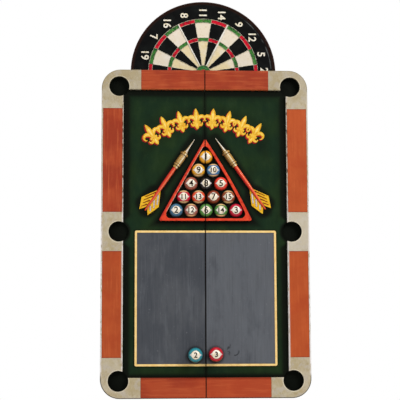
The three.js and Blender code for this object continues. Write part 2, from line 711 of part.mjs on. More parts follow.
// One leaf of a long hinge, about the pin axis: a plate with every second knuckle.
function hingeLeaf(sign, firstKnuckle, plateSide) {
  const inboard = -sign;
  const pitch = HINGE_LENGTH / HINGE_KNUCKLES;
  const gapFromAxis = DOOR_STANDOFF / 2 - FIT_GAP;
  const [y0, y1] = ordered(plateSide * gapFromAxis, plateSide * (gapFromAxis - LEAF_THICKNESS));
  const halfLength = HINGE_LENGTH / 2;
  const [x0, x1] = ordered(inboard * LEAF_START, inboard * LEAF_END);
  let leaf = block([x0, y0, -halfLength], [x1, y1, halfLength]);
  const tabMiddle = (KNUCKLE_BORE_RADIUS + KNUCKLE_RADIUS) / 2;
  const tabEnd = LEAF_START + FIT_GAP;
  const [t0, t1] = ordered(inboard * tabMiddle, inboard * tabEnd);
  for (let i = firstKnuckle; i < HINGE_KNUCKLES; i += 2) {
    const bottom = i * pitch - halfLength + KNUCKLE_END_GAP / 2;
    const length = pitch - KNUCKLE_END_GAP;
    const tube = rod(KNUCKLE_RADIUS, length, 8).translate([0, 0, bottom + length / 2]);
    const tab = block([t0, y0, bottom], [t1, y1, bottom + length]);
    leaf = leaf.add(tube).add(tab);
  }
  return leaf.subtract(rod(KNUCKLE_BORE_RADIUS, HINGE_LENGTH + 2 * CUT_MARGIN, 8));
}

function hingePlace(sign) {
  return [sign * HINGE_X, HINGE_Y, 0];
}

function caseHingeParts({ name, sign }) {
  const place = hingePlace(sign);
  return [
    part(`${name}_case_hinge_leaf`, hingeLeaf(sign, 0, 1), finishes.brass(), place),
    part(`${name}_hinge_pin`, rod(PIN_RADIUS, HINGE_LENGTH, 8), finishes.brass(), place),
  ];
}

function doorHingeLeaf({ name, sign }) {
  return part(`${name}_door_hinge_leaf`, hingeLeaf(sign, 1, -1), finishes.brass(), hingePlace(sign));
}

// A shelf on a back plate, with notches that darts drop into from the front.
function dartHolder({ name, sign }) {
  const half = HOLDER_WIDTH / 2;
  const shelf = block([-half, 0, 0], [half, HOLDER_SHELF_DEPTH, HOLDER_SHELF_THICKNESS]);
  const backPlate = block([-half, 0, 0], [half, HOLDER_BACK_THICKNESS, HOLDER_BACK_HEIGHT]);
  let solid = shelf.add(backPlate);
  for (let i = 0; i < HOLDER_NOTCHES; i += 1) {
    const middle = (i - (HOLDER_NOTCHES - 1) / 2) * HOLDER_NOTCH_SPACING;
    const notch = block(
      [middle - HOLDER_NOTCH_WIDTH / 2, HOLDER_SHELF_DEPTH - HOLDER_NOTCH_DEPTH, -CUT_MARGIN],
      [
        middle + HOLDER_NOTCH_WIDTH / 2,
        HOLDER_SHELF_DEPTH + CUT_MARGIN,
        HOLDER_SHELF_THICKNESS + CUT_MARGIN,
      ],
    );
    solid = solid.subtract(notch);
  }
  const place = [sign * HOLDER_FROM_SEAM, DOOR_BACK + FIT_GAP, HOLDER_HEIGHT];
  return part(`${name}_dart_holder`, solid, finishes.holderWood(), place);
}

// ---------------------------------------------------------------- assembly

function group(...meshes) {
  const holder = new THREE.Group();
  holder.add(...meshes);
  return holder;
}

const balls = ballParts();

const cabinet = group(
  backPanel(),
  ...casePanels(),
  crestBoard(),
  boardBracket(),
  ...SIDES.map(hangerPlate),
  ...SIDES.flatMap(caseHingeParts),
);

const dartboard = group(...dartboardParts());

const doors = SIDES.map((side) => group(
  doorPanel(side),
  castingFrame(side),
  ...rails(side),
  chalkPanel(side),
  rack(side),
  ...balls[side.name],
  dart(side),
  knob(side),
  doorHingeLeaf(side),
  dartHolder(side),
));

export default group(cabinet, dartboard, ...doors);
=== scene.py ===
import functools
import math
import random

import bmesh
import bpy
from mathutils import Matrix, Vector


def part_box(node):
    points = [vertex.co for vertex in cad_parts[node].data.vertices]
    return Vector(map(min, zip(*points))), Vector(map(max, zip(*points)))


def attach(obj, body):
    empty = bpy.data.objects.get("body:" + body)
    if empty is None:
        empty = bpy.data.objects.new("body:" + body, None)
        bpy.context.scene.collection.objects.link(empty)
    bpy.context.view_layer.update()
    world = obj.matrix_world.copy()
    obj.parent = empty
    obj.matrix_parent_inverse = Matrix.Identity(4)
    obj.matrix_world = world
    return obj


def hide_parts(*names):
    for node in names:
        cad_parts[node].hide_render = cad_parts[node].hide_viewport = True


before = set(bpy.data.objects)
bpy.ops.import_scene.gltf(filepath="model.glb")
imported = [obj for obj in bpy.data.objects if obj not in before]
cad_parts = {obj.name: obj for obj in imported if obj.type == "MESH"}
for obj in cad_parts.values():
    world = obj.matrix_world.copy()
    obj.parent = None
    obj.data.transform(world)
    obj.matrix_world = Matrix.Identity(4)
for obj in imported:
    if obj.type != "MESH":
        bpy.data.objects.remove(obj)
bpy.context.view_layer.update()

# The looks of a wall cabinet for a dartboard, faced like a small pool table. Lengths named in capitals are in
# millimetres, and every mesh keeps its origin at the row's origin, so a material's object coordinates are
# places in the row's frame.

MM = 0.001
HARD_EDGE = math.radians(38)  # sharper edges than this stay crisp, or are rounded by a bevel
SIDES = (("left", -1), ("right", 1))


def corner(node, which):
    """The lowest (0) or highest (1) corner of a CAD node, in millimetres."""
    return Vector(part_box(node)[which]) / MM


# ---------------------------------------------------------------- places taken from the frame

DOOR_EDGE = corner("right_door_panel", 1).x
DOOR_TOP = corner("right_door_panel", 1).z
SEAM_EDGE = corner("right_door_panel", 0).x
FIELD_FACE = corner("right_door_panel", 0).y
FACING_BACK = corner("right_top_rail", 1).y
RAIL_FACE = corner("right_top_rail", 0).y
FIELD_TOP = corner("right_top_rail", 0).z
CASTING_X = corner("right_casting_frame", 0).x
RAIL_OUTER = corner("right_upper_side_rail", 1).x
RAIL_INNER = corner("right_upper_side_rail", 0).x
RAIL_HIGH = corner("right_upper_side_rail", 1).z
RAIL_LOW = corner("right_upper_side_rail", 0).z
STRIP_WIDTH = DOOR_EDGE - RAIL_OUTER
INNER_STRIP_WIDTH = STRIP_WIDTH - 1.6
FIELD_EDGE = RAIL_INNER - INNER_STRIP_WIDTH
CHALK_EDGE = corner("right_chalk_panel", 1).x
CHALK_TOP = corner("right_chalk_panel", 1).z
CHALK_BOTTOM = corner("right_chalk_panel", 0).z
CHALK_FRONT = corner("right_chalk_panel", 0).y
RACK_APEX = corner("right_rack_half", 1).z
RACK_BASE = corner("right_rack_half", 0).z
RACK_EDGE = corner("right_rack_half", 1).x
RACK_OUTWARDS = Vector((RACK_APEX - RACK_BASE, 0, RACK_EDGE)).normalized()
CREST_RADIUS = corner("crest_board", 1).x
CREST_CENTRE = Vector((0, corner("crest_board", 0).y, corner("crest_board", 1).z - CREST_RADIUS))
CREST_FOOT = corner("crest_board", 0).z
CREST_BACK = corner("crest_board", 1).y
BOARD_RADIUS = corner("steel_band", 1).x
BOARD_FRONT = corner("steel_band", 0).y
BOARD_CENTRE = Vector((0, BOARD_FRONT, (corner("steel_band", 0).z + corner("steel_band", 1).z) / 2))
KNOB_RADIUS = (corner("right_knob", 1).z - corner("right_knob", 0).z) / 2
KNOB_CENTRE = (corner("right_knob", 0) + corner("right_knob", 1)) / 2

# ---------------------------------------------------------------- sizes of painted and carved detail

DOOR_CORNER = 49
POCKET_RADIUS = 25.5
POCKET_X = DOOR_EDGE - 45.5
POCKET_Z = DOOR_TOP - 44
CHALK_BORDER = 5.6
KNOBS_OFF_TRUE = -1.6  # the knobs sit this far to the left of their places
CHALK_TRIM = {"left": 1.2, "right": 0.0}  # sawn off each chalk panel's outer side
RACK_BAR = 6.0
RACK_BOW = {"left": 0.5, "right": 5.5}  # how far each hand-cut side bows outwards
BALLS_OFF_TRUE = 2.0  # the balls sit this far to the right of the seam
BALL_SWELL = 1.1  # a rounded ball is this much bigger all round than its CAD piece
FIGURE_SINK = 0.4  # how deep a number is bedded in its face
FONT_SIZE = 1.38  # for each unit of a numeral's height
CASTING_EDGE = 3.2
HINGE_KNUCKLES = 12
FLOOR_RADIUS = 1500
FLOOR_Z = -780
BAND_RADIUS = 244  # of the ornament's arch, at the middle of the band
BAND_CENTRE_Z = 51
BAND_HEIGHT = 50
BAND_REACH = 158  # to either side of the seam
ORNAMENT_PITCH = {"left": 41.5, "right": 39.0}
CASE_WOOD = ("17110d", "332218")  # its darkest and its lightest stain

# The right-hand dart, from its tip to the end of its shaft
DART_POINT = Vector((26.7, 0, 242))
DART_TAIL = Vector((156, 0, 55))
DART_LIFT = {"left": -1.5, "right": 2.2}  # the two darts are not set at quite the same height
DART_AXIS_RISE = 3.0
DART_RUN = (DART_TAIL - DART_POINT).normalized()
DART_OUTWARDS = Vector((-DART_RUN.z, 0, DART_RUN.x))
DART_LENGTH = (DART_TAIL - DART_POINT).length
# Outlines of a dart's turned parts, as (radius, distance from the tip)
NEEDLE = ((0, 0), (0.5, 1.0), (1.3, 14), (2.9, 30), (4.6, 41), (0, 41))
FRONT_COLLAR = (
    (0, 40), (4.8, 40), (6.0, 42.6), (8.6, 45.0), (10.8, 46.6), (11.2, 48.4), (10.6, 50.2), (8.6, 51.4),
)
BARREL_START, BARREL_END, BARREL_RINGS = 52.6, 77.4, 5
BARREL_RADIUS = 8.5
REAR_COLLAR = ((8.0, 78.2), (9.3, 79.4), (9.5, 81.4), (8.9, 83.0), (6.8, 84.2))
SOCKET = ((6.6, 85.4), (7.3, 87.0), (7.0, 90.6), (0, 91))
SHAFT = ((0, 89), (4.9, 89), (5.1, 110), (5.0, 145), (4.2, 163), (2.9, 195))
SHAFT += ((2.0, DART_LENGTH - 3), (0, DART_LENGTH))
BRASS_GROOVES = (44.2, 51.8, 78.0, 84.4)
# Corners of each vane as (along, outwards) from the dart's point: beside the shaft, widest, end, and notch
OUTER_VANE = ((162, 2.5), (202, 27), (231.5, 14), (217, 3.5))
INNER_VANE = ((161, -4), (198.5, -24), (232, -12.5), (220, -3))
VANE_THICKNESS = 2.6
# Where each paint stands in a dart's list of materials
DART_SLOTS = {"needle": 0, "brass": 1, "shaft": 2, "yellow": 3, "brown": 4, "pale": 5}

# Clockwise from the top of a board hung the usual way
BOARD_NUMBERS = (20, 1, 18, 4, 13, 6, 10, 15, 2, 17, 3, 19, 7, 16, 8, 11, 14, 9, 12, 5)
SECTOR = 2 * math.pi / len(BOARD_NUMBERS)
BOARD_STEPS = 160
BOARD_WIRE = 0.75
# Double ring's outer and inner edge, triple ring's, outer and inner bull: in mm, and as shares of the crest
BOARD_RINGS = (170.0, 162.0, 107.0, 99.0, 15.9, 6.35)
CREST_RINGS = (0.757, 0.705, 0.492, 0.442, 0.100, 0.040)
CREST_EDGE = 3.0
CREST_NUMBERS = 0.845  # their reach, as a share of the crest's radius
CREST_NUMBER_LIFT = {19: -6.0}  # one numeral was set low
CREST_BOLD_WIRES = {1: 2.3, 18: 1.8}  # radius of the two thickest wires, by place clockwise from the top

BALL_PAINT = {
    1: "e79c1f",
    2: "3a6680",
    3: "b51630",
    4: "93503f",
    5: "dc3a2a",
    6: "4a7f38",
    7: "7f341c",
    8: "121213",
    9: "dd9a20",
    10: "3f73a0",
    11: "bb1530",
    12: "99594c",
    13: "e04a28",
    14: "4a7f38",
    15: "8a4324",
}


def on_dart(along, outwards):
    """A place on the right-hand dart, as carved before either dart was set."""
    return DART_POINT + DART_RUN * along + DART_OUTWARDS * outwards


def hex_colour(text):
    """A linear colour from an sRGB one written as six hexadecimal digits."""
    channels = [int(text[i : i + 2], 16) / 255 for i in (0, 2, 4)]
    linear = [c / 12.92 if c <= 0.04045 else ((c + 0.055) / 1.055) ** 2.4 for c in channels]
    return (*linear, 1.0)


# ---------------------------------------------------------------- materials: a short way to write nodes


class Value:
    """A number that varies over a surface. Ordinary arithmetic on it adds maths nodes."""

    def __init__(self, nodes, socket):
        self.nodes = nodes
        self.socket = socket

    def __add__(self, other):
        return self.nodes.maths("ADD", self, other)

    __radd__ = __add__

    def __sub__(self, other):
        return self.nodes.maths("SUBTRACT", self, other)

    def __rsub__(self, other):
        return self.nodes.maths("SUBTRACT", other, self)

    def __mul__(self, other):
        return self.nodes.maths("MULTIPLY", self, other)

    __rmul__ = __mul__

    def __truediv__(self, other):
        return self.nodes.maths("DIVIDE", self, other)

    def __abs__(self):
        return self.nodes.maths("ABSOLUTE", self)


class Nodes:
    """One material's node tree, and the colour painted so far. Colours are six hexadecimal digits."""

    def __init__(self, name):
        self.material = bpy.data.materials.new(name)
        self.material.use_nodes = True
        self.tree = self.material.node_tree
        self.shader = self.tree.nodes["Principled BSDF"]
        self.place = self.add("ShaderNodeTexCoord").outputs["Object"]
        millimetres = self.vector("MULTIPLY", self.place, (1 / MM, 1 / MM, 1 / MM))
        split = self.add("ShaderNodeSeparateXYZ")
        self.join(millimetres, split.inputs[0])
        self.x, self.y, self.z = (Value(self, output) for output in split.outputs)
        self.colour = None

    def add(self, kind, **settings):
        node = self.tree.nodes.new(kind)
        for key, value in settings.items():
            setattr(node, key, value)
        return node

    def join(self, value, socket):
        """Links a node's output to a socket, or sets the socket to a number or a colour."""
        if isinstance(value, Value):
            value = value.socket
        if isinstance(value, str):
            value = hex_colour(value)
        if isinstance(value, bpy.types.NodeSocket):
            self.tree.links.new(value, socket)
        else:
            socket.default_value = value

    def maths(self, operation, a, b=0.0, clamp=False):
        node = self.add("ShaderNodeMath", operation=operation, use_clamp=clamp)
        self.join(a, node.inputs[0])
        self.join(b, node.inputs[1])
        return Value(self, node.outputs[0])

    def larger(self, *values):
        return functools.reduce(lambda a, b: self.maths("MAXIMUM", a, b), values)

    def smaller(self, *values):
        return functools.reduce(lambda a, b: self.maths("MINIMUM", a, b), values)

    def vector(self, operation, a, b):
        node = self.add("ShaderNodeVectorMath", operation=operation)
        self.join(a, node.inputs[0])
        self.join(b, node.inputs[1])
        return node.outputs[0]

    def ease(self, value, start, end):
        """0 at start, 1 at end, smooth between. Start may be above end."""
        rising = end > start
        node = self.add("ShaderNodeMapRange", interpolation_type="SMOOTHSTEP")
        self.join(value, node.inputs["Value"])
        node.inputs["From Min"].default_value = min(start, end)
        node.inputs["From Max"].default_value = max(start, end)
        node.inputs["To Min"].default_value = 0.0 if rising else 1.0
        node.inputs["To Max"].default_value = 1.0 if rising else 0.0
        return Value(self, node.outputs["Result"])

    def band(self, value, start, full, fading, end):
        """0 up to start, 1 from full to fading, and 0 again from end."""
        return self.ease(value, start, full) * self.ease(value, end, fading)

    def noise(self, size, detail=3, roughness=0.6, stretch=(1, 1, 1), seed=0.0):
        """Soft noise from 0 to 1, with features of about this size in mm, longer along stretched axes."""
        scaled = self.vector("MULTIPLY", self.place, tuple(1 / s for s in stretch))
        moved = self.vector("ADD", scaled, (seed, seed * 0.7, seed * 1.3))
        node = self.add("ShaderNodeTexNoise")
        self.join(moved, node.inputs["Vector"])
        node.inputs["Scale"].default_value = 1 / (size * MM)
        node.inputs["Detail"].default_value = detail
        node.inputs["Roughness"].default_value = roughness
        return Value(self, node.outputs["Fac"])

    def reach(self, x, z, centre_x=0.0, centre_z=0.0):
        """Distance in X and Z from a point."""
        dx = x - centre_x
        dz = z - centre_z
        return self.maths("SQRT", dx * dx + dz * dz)

    def off_segment(self, x, z, start, end):
        """Distance in X and Z from a straight line between two points."""
        run = end - start
        dx = x - start.x
        dz = z - start.z
        along = self.maths("DIVIDE", dx * run.x + dz * run.z, run.length_squared, clamp=True)
        return self.reach(dx - along * run.x, dz - along * run.z)

    def mix(self, share, a, b):
        """Colour a with this share of colour b."""
        node = self.add("ShaderNodeMix", data_type="RGBA")
        self.join(share, node.inputs[0])
        self.join(a, node.inputs[6])
        self.join(b, node.inputs[7])
        return node.outputs[2]

    def stained_wood(self, dark, light):
        """The colour of plain wood with upright grain."""
        streaks = self.noise(4.0, 4, 0.6, (1, 1, 16), seed=6.0)
        return self.mix(self.ease(streaks, 0.35, 0.7), dark, light)

    def paint(self, colour, cover):
        """Paints a colour over what is there, as thickly as cover says, from 0 to 1."""
        self.colour = self.mix(cover, self.colour, colour)

    def paint_seam(self):
        """Paints shade on the edge beside the gap between the doors, so that the dark gap looks wider."""
        self.paint("120d0a", self.ease(abs(self.x), SEAM_EDGE + 1.3, SEAM_EDGE + 0.5) * 0.88)

    def finish(self, roughness, height=None, depth=0.1, metallic=0.0, coat=0.0, shine=0.07):
        """Sets the shader. height, from 0 to 1, raises the surface by up to depth in millimetres."""
        self.join(self.colour, self.shader.inputs["Base Color"])
        self.join(roughness, self.shader.inputs["Roughness"])
        self.shader.inputs["Specular IOR Level"].default_value = 0.5 if metallic else shine
        self.shader.inputs["Metallic"].default_value = metallic
        self.shader.inputs["Coat Weight"].default_value = coat
        self.shader.inputs["Coat Roughness"].default_value = 0.12
        if height is not None:
            bump = self.add("ShaderNodeBump")
            bump.inputs["Distance"].default_value = depth * MM
            self.join(height, bump.inputs["Height"])
            self.join(bump.outputs["Normal"], self.shader.inputs["Normal"])
        return self.material


# ---------------------------------------------------------------- materials: places on the front


def pocket_reaches(n):
    """Distances from the middle of the nearest corner pocket, and of the nearest middle pocket."""
    away = abs(n.x)
    return n.reach(away, abs(n.z), POCKET_X, POCKET_Z), n.reach(away, n.z, POCKET_X, 0.0)


def past_rack_side(n):
    """Distance outwards from the line of the rack's nearer side."""
    return abs(n.x) * RACK_OUTWARDS.x + (n.z - RACK_APEX) * RACK_OUTWARDS.z


def dart_line(name, sign):
    """The tip of a dart and the direction it runs in."""
    point = Vector((sign * DART_POINT.x, FACING_BACK - DART_AXIS_RISE, DART_POINT.z + DART_LIFT[name]))
    return point, Vector((sign * DART_RUN.x, 0, DART_RUN.z))


def long_along(axis, times):
    """A stretch for noise, this many times longer along one axis."""
    return tuple(times if letter == axis else 1 for letter in "xyz")


# ---------------------------------------------------------------- materials: paints


def rail_paint(along):
    """Hand-brushed orange: streaks along one axis, soft blotches, a fine grain, and wear."""
    n = Nodes(f"rail_orange_{along}")
    streaks = n.noise(5.2, 4, 0.62, long_along(along, 16))
    blotches = n.noise(55, 3, 0.5, seed=3.1)
    grain = n.noise(0.9, 2, 0.6, seed=7.7)
    base, dark, light = "b04c2d", "9d3d27", "c2603a"
    n.colour = n.mix(n.ease(blotches, 0.38, 0.66), dark, base)
    n.paint(light, n.ease(streaks, 0.5, 0.7) * 0.6)
    n.paint(dark, n.ease(streaks, 0.48, 0.32) * 0.65)
    n.paint("4a1a10", n.ease(grain, 0.58, 0.78) * 0.2)
    rail_coats(n)
    rail_edges(n)
    n.paint_seam()
    return n.finish(streaks * 0.22 + 0.31, streaks + grain * 0.35, 0.16)


def rail_coats(n):
    """A lighter, warmer coat on the right side rails, partly more orange paint and partly painted light from
    the key light on that side, a warmer coat in the two lower corners, and deeper red patches.
    """
    # painted light: the right side rails are lighter, as where the key light falls, and also more orange
    n.paint("c65f2e", n.ease(n.x, DOOR_EDGE - 75, DOOR_EDGE - 60) * 0.55)
    low_left = n.ease(n.x, -DOOR_EDGE + 75, -DOOR_EDGE + 60) * n.ease(n.z, 0, -40)
    n.paint("c4602f", low_left * n.ease(n.z, -DOOR_TOP + 60, -DOOR_TOP + 90) * 0.4)
    low_right = n.ease(n.x, -70, 20) * n.ease(n.z, -FIELD_TOP + 6, -FIELD_TOP)
    n.paint("c45530", low_right * 0.45)
    n.paint("a5341f", n.ease(n.noise(28, 3, 0.5, seed=5.0), 0.45, 0.72) * 0.22)


def rail_edges(n):
    """A painted highlight on the top rail's lip and painted shade on the bottom rail's lip beside the field,
    dark joints, a painted highlight low on the side rails' inner edge, and painted shade along the top and
    bottom outer edges.
    """
    away = abs(n.x)
    high = abs(n.z)
    in_end_rail = n.ease(high, FIELD_TOP - 6, FIELD_TOP - 4)
    # painted highlight along the top rail's lip beside the field
    lip = n.ease(high, FIELD_TOP + 3.4, FIELD_TOP + 0.6) * in_end_rail
    n.paint("cf6a38", lip * n.ease(n.z, 0, 10) * 0.5)
    # painted shade along the bottom rail's lip beside the field
    shaded_lip = n.ease(n.z, -FIELD_TOP - 7, -FIELD_TOP - 1) * in_end_rail
    n.paint("6e2014", shaded_lip * n.ease(n.z, 0, -10) * 0.65)
    joint = n.larger(
        n.ease(high, RAIL_HIGH - 2.6, RAIL_HIGH - 0.4),
        n.ease(high, RAIL_LOW + 2.6, RAIL_LOW + 0.4),
        n.ease(away, RAIL_OUTER - 1.4, RAIL_OUTER - 0.2),
        n.ease(away, RAIL_INNER + 1.4, RAIL_INNER + 0.2),
    )
    in_side_rail = n.ease(away, CASTING_X + 4, CASTING_X + 5)
    n.paint("7c2417", joint * in_side_rail * 0.5)
    # painted highlight on the side rails' inner edge low down, running on from the castings' highlight
    low_edge_highlight = n.ease(away, RAIL_INNER + 1.8, RAIL_INNER + 1.1) * n.ease(n.z, 70, 0)
    n.paint("dccfc8", low_edge_highlight * in_side_rail * 0.85)
    # painted shade along the top and bottom outer edges
    n.paint("4a1c12", n.ease(n.z, DOOR_TOP - 2.4, DOOR_TOP - 0.6) * 0.55)
    n.paint("35170f", n.ease(n.z, -DOOR_TOP + 3.4, -DOOR_TOP + 1.2) * 0.9)


def casting_paint():
    """Cream with an antique glaze, a painted highlight along the long edges broken up like wear, and pockets
    stained black.
    """
    n = Nodes("casting_cream")
    away = abs(n.x)
    high = abs(n.z)
    broad = n.noise(34, 4, 0.6, seed=2.0)
    glaze = n.noise(12, 4, 0.65, (1, 1, 1.6), seed=9.0)
    fine = n.noise(2.6, 3, 0.6, (1, 1, 2.5), seed=5.0)
    n.colour = n.mix(n.ease(broad, 0.36, 0.64), "b5a583", "c1b59c")
    n.paint("a08c62", n.ease(glaze, 0.52, 0.72) * 0.5)
    n.paint("d0c8b8", n.ease(glaze, 0.44, 0.26) * 0.45)
    n.paint("bdb3a6", n.ease(n.noise(17, 4, 0.6, seed=23.0), 0.5, 0.62) * 0.6)
    n.paint("8d7a55", n.ease(fine, 0.55, 0.75) * 0.3)
    n.paint("ddd6c8", n.ease(fine, 0.4, 0.25) * 0.25)

    # painted highlight on the rounded edges along the straight sides, broken up like wear, stronger low down
    past_x = n.larger(away - (DOOR_EDGE - DOOR_CORNER), 0.0)
    past_z = n.larger(high - (DOOR_TOP - DOOR_CORNER), 0.0)
    inset = DOOR_CORNER - n.reach(past_x, past_z)
    beside = n.ease(high, POCKET_Z - 4, POCKET_Z - 22)
    outer = n.ease(inset, 4.2, 2.6) * beside
    inner = n.ease(away, FIELD_EDGE + 3.6, FIELD_EDGE + 2.2) * n.ease(high, FIELD_TOP - 6, FIELD_TOP - 14)
    worn = n.ease(n.noise(4, 4, 0.65, (1, 1, 3), seed=12.0), 0.36, 0.52)
    n.paint("ece6e4", n.larger(outer, inner) * worn * (n.ease(n.z, 190, 20) * 0.55 + 0.38))

    # paler by the right middle pocket, dark specks, a painted highlight round the pockets' rims, and black in
    # the pockets
    corner_pocket, middle_pocket = pocket_reaches(n)
    pocket = n.smaller(corner_pocket, middle_pocket)
    n.paint("d6cfc2", n.ease(middle_pocket, 75, 45) * n.ease(n.x, 0, 1) * 0.4)
    n.paint("6f6145", n.ease(n.noise(1.6, seed=15.0), 0.62, 0.72) * 0.35)
    rim = n.ease(pocket, POCKET_RADIUS + 3.6, POCKET_RADIUS + 2.0) * n.ease(glaze, 0.35, 0.6)
    n.paint("e6dcc4", rim * 0.75)
    n.paint("0d0c0a", n.ease(pocket, POCKET_RADIUS + 1.1, POCKET_RADIUS + 0.2))

    # dark patches in the inner strip high up, a dark outline round the corners, deepened at the bottom by
    # painted shade, and a shaded top
    dark_patch = inner * n.ease(n.noise(5, 3, 0.6, (1, 1, 2), seed=18.0), 0.52, 0.6)
    n.paint("3a2a1c", dark_patch * n.ease(n.z, 30, 120) * 0.8)
    at_bottom = n.ease(n.z, 0, -100)
    outline = n.ease(inset, 2.9, 1.3) * (1.0 - beside) * (at_bottom * 0.4 + 0.5)
    n.paint(n.mix(at_bottom, "6a5e48", "2c2620"), outline)
    n.paint("8f8468", n.ease(n.z, POCKET_Z - 60, POCKET_Z - 20) * 0.2)
    return n.finish(glaze * 0.25 + 0.42, fine + glaze, 0.14)


def field_shade(n):
    """How clear the green is of black airbrushed shade, from 0 to 1: darkest beside what stands on it."""
    away = abs(n.x)
    high = abs(n.z)
    to_side = FIELD_EDGE - away + n.ease(high, 44, 26) * 14.0
    to_end = FIELD_TOP - high + n.ease(n.z, 0, -20) * 8.0
    to_rail = n.smaller(to_side, to_end)
    to_pocket = n.smaller(*pocket_reaches(n)) - POCKET_RADIUS

    chalk_middle = (CHALK_TOP + CHALK_BOTTOM) / 2
    past_x = n.larger(away - CHALK_EDGE, 0.0)
    past_z = n.larger(abs(n.z - chalk_middle) - (CHALK_TOP - chalk_middle), 0.0)
    to_chalk = n.reach(past_x, past_z)
    to_rack = n.larger(past_rack_side(n), RACK_BASE - n.z)

    to_dart = n.off_segment(away, n.z, DART_POINT, DART_TAIL)
    outer_vane = n.off_segment(away, n.z, on_dart(177, 8), on_dart(214, 15))
    inner_vane = n.off_segment(away, n.z, on_dart(177, -8), on_dart(220, -8))
    to_flight = n.smaller(outer_vane, inner_vane)
    off_band = abs(n.reach(away, n.z, 0.0, BAND_CENTRE_Z) - BAND_RADIUS) - BAND_HEIGHT / 2
    to_ornament = n.larger(off_band, away - BAND_REACH)

    # each measure, where its shade starts and is full, and how dark it gets
    shades = (
        (to_rail, 22.0, 11.0, 0.92),
        (to_rail, 36.0, 14.0, 0.30),
        (to_pocket, 9.0, 0.5, 0.95),
        (to_chalk, 4.5, 0.3, 0.45),
        (to_rack, 24.0, 1.0, 1.00),
        (to_dart, 24.0, 9.0, 0.88),
        (to_flight, 26.0, 13.0, 0.90),
        (to_ornament, 20.0, -6.0, 0.35),
        (away, 9.0, 0.8, 0.65),
    )
    clear = 1.0
    for measure, far, near, strength in shades:
        clear = clear * (1.0 - n.ease(measure, far, near) * strength)
    return clear


def field_paint():
    """Green field with black airbrushed shade round everything that stands on it, stained wood behind."""
    n = Nodes("field_paint")
    broad = n.noise(90, 3, 0.5, seed=1.0)
    cloudy = n.noise(24, 4, 0.6, (1, 1, 2.5), seed=4.0)
    grain = n.noise(1.2, seed=2.0)
    n.colour = n.mix(n.ease(broad, 0.35, 0.65), "192d1d", "20331b")
    n.paint("2a3d23", n.ease(cloudy, 0.48, 0.75) * 0.5)
    n.paint("152417", n.ease(cloudy, 0.5, 0.28) * 0.5)
    n.paint("5d6e55", n.ease(n.noise(2.0, 2, 0.5, seed=21.0), 0.70, 0.78) * 0.22)
    black = n.mix(n.ease(grain, 0.55, 0.75), "0e110c", "1a1e18")
    n.paint(black, 1.0 - field_shade(n))
    n.paint(n.stained_wood("1d100a", "4a2a17"), n.ease(n.y, FIELD_FACE + 8.5, FIELD_FACE + 10.0))
    return n.finish(grain * 0.2 + 0.5, cloudy + grain * 0.5, 0.12, shine=0.04)


def slate_paint():
    """Chalkboard paint: upright brush marks, chalk haze, smudges, black shade round the knobs, painted shade
    by the seam and inside the border, and a right half made lighter by painted light.
    """
    n = Nodes("slate_paint")
    streaks = n.noise(2.6, 4, 0.6, (1, 1, 40), seed=2.0)
    mottle = n.noise(22, 5, 0.65, (1, 1, 4), seed=16.0)
    haze = n.noise(70, 4, 0.6, (1, 1, 1.8), seed=8.0)
    grain = n.noise(0.7, 2, 0.5, seed=5.0)
    # the right half is painted lighter: painted light, as where the key light falls
    n.colour = n.mix(n.ease(n.x, -2, 2), "494c52", "5f6268")
    n.paint("606266", n.ease(haze, 0.4, 0.7) * 0.5)
    n.paint("43464b", n.ease(haze, 0.44, 0.26) * 0.45)
    n.paint("70747a", n.ease(streaks, 0.52, 0.78) * 0.3)
    n.paint("3c3f45", n.ease(streaks, 0.46, 0.26) * 0.42)
    n.paint("6f7379", n.ease(mottle, 0.5, 0.7) * 0.22)
    n.paint("43464c", n.ease(mottle, 0.48, 0.3) * 0.25)
    n.paint("a9abb0", n.ease(n.noise(3.0, 1, 0.4, seed=11.0), 0.76, 0.82) * 0.35)
    n.paint("26282b", smudge(n) * 0.7)
    away = abs(n.x)
    knob_reach = n.reach(abs(n.x - KNOBS_OFF_TRUE), n.z, KNOB_CENTRE.x, KNOB_CENTRE.z - 1.0)
    n.paint("0e0f10", n.ease(knob_reach, 28, 16) * 0.9)
    # painted shade beside the seam, so that the gap looks wider
    n.paint("16181a", n.ease(away, 3.6, 0.9) * 0.7)
    inner_x = CHALK_EDGE - CHALK_BORDER
    inner_z = CHALK_TOP - CHALK_BORDER
    # painted shade on the slate just inside the raised border
    by_side = n.ease(away, inner_x - 5.0, inner_x - 0.5)
    by_top = n.ease(n.z, inner_z - 5.0, inner_z - 0.5)
    n.paint("4a4d5e", n.larger(by_side, by_top) * 0.45)
    n.paint_seam()
    return n.finish(haze * 0.12 + 0.72, streaks + grain * 0.6, 0.1)


def smudge(n):
    """A rubbed ring right of the red knob: broad and broken on its left, a thin line at its lower right."""
    ring_x = n.x - (KNOB_CENTRE.x + 44)
    ring_z = n.z - (KNOB_CENTRE.z + 11)
    uneven = (n.noise(14, seed=1.5) - 0.5) * 7.0
    off_ring = abs(n.reach(ring_x, ring_z) + uneven - 13.5)
    broken = n.ease(n.noise(7, seed=4.5), 0.44, 0.56)
    left_side = n.ease(ring_x, -5.0, -8.5) * n.ease(off_ring, 5.0, 1.5) * broken
    low_right = n.ease(ring_z, 1, -2) * n.ease(ring_x, 1, 3) * n.ease(off_ring, 2.3, 1.0)
    return n.larger(left_side, low_right)


def plain_paint(name, base, shade, glow, roughness=0.35, coat=0.3, size=14, at_seam=False):
    """Gloss paint with soft clouds of a darker and a lighter tone."""
    n = Nodes(name)
    clouds = n.noise(size, 4, 0.6, seed=2.4)
    grain = n.noise(0.8, 2, 0.5, seed=1.1)
    n.colour = n.mix(n.ease(clouds, 0.36, 0.5), shade, base)
    n.paint(glow, n.ease(clouds, 0.54, 0.72) * 0.8)
    if at_seam:
        n.paint_seam()
    return n.finish(clouds * 0.2 + (roughness - 0.1), grain, 0.05, coat=coat)


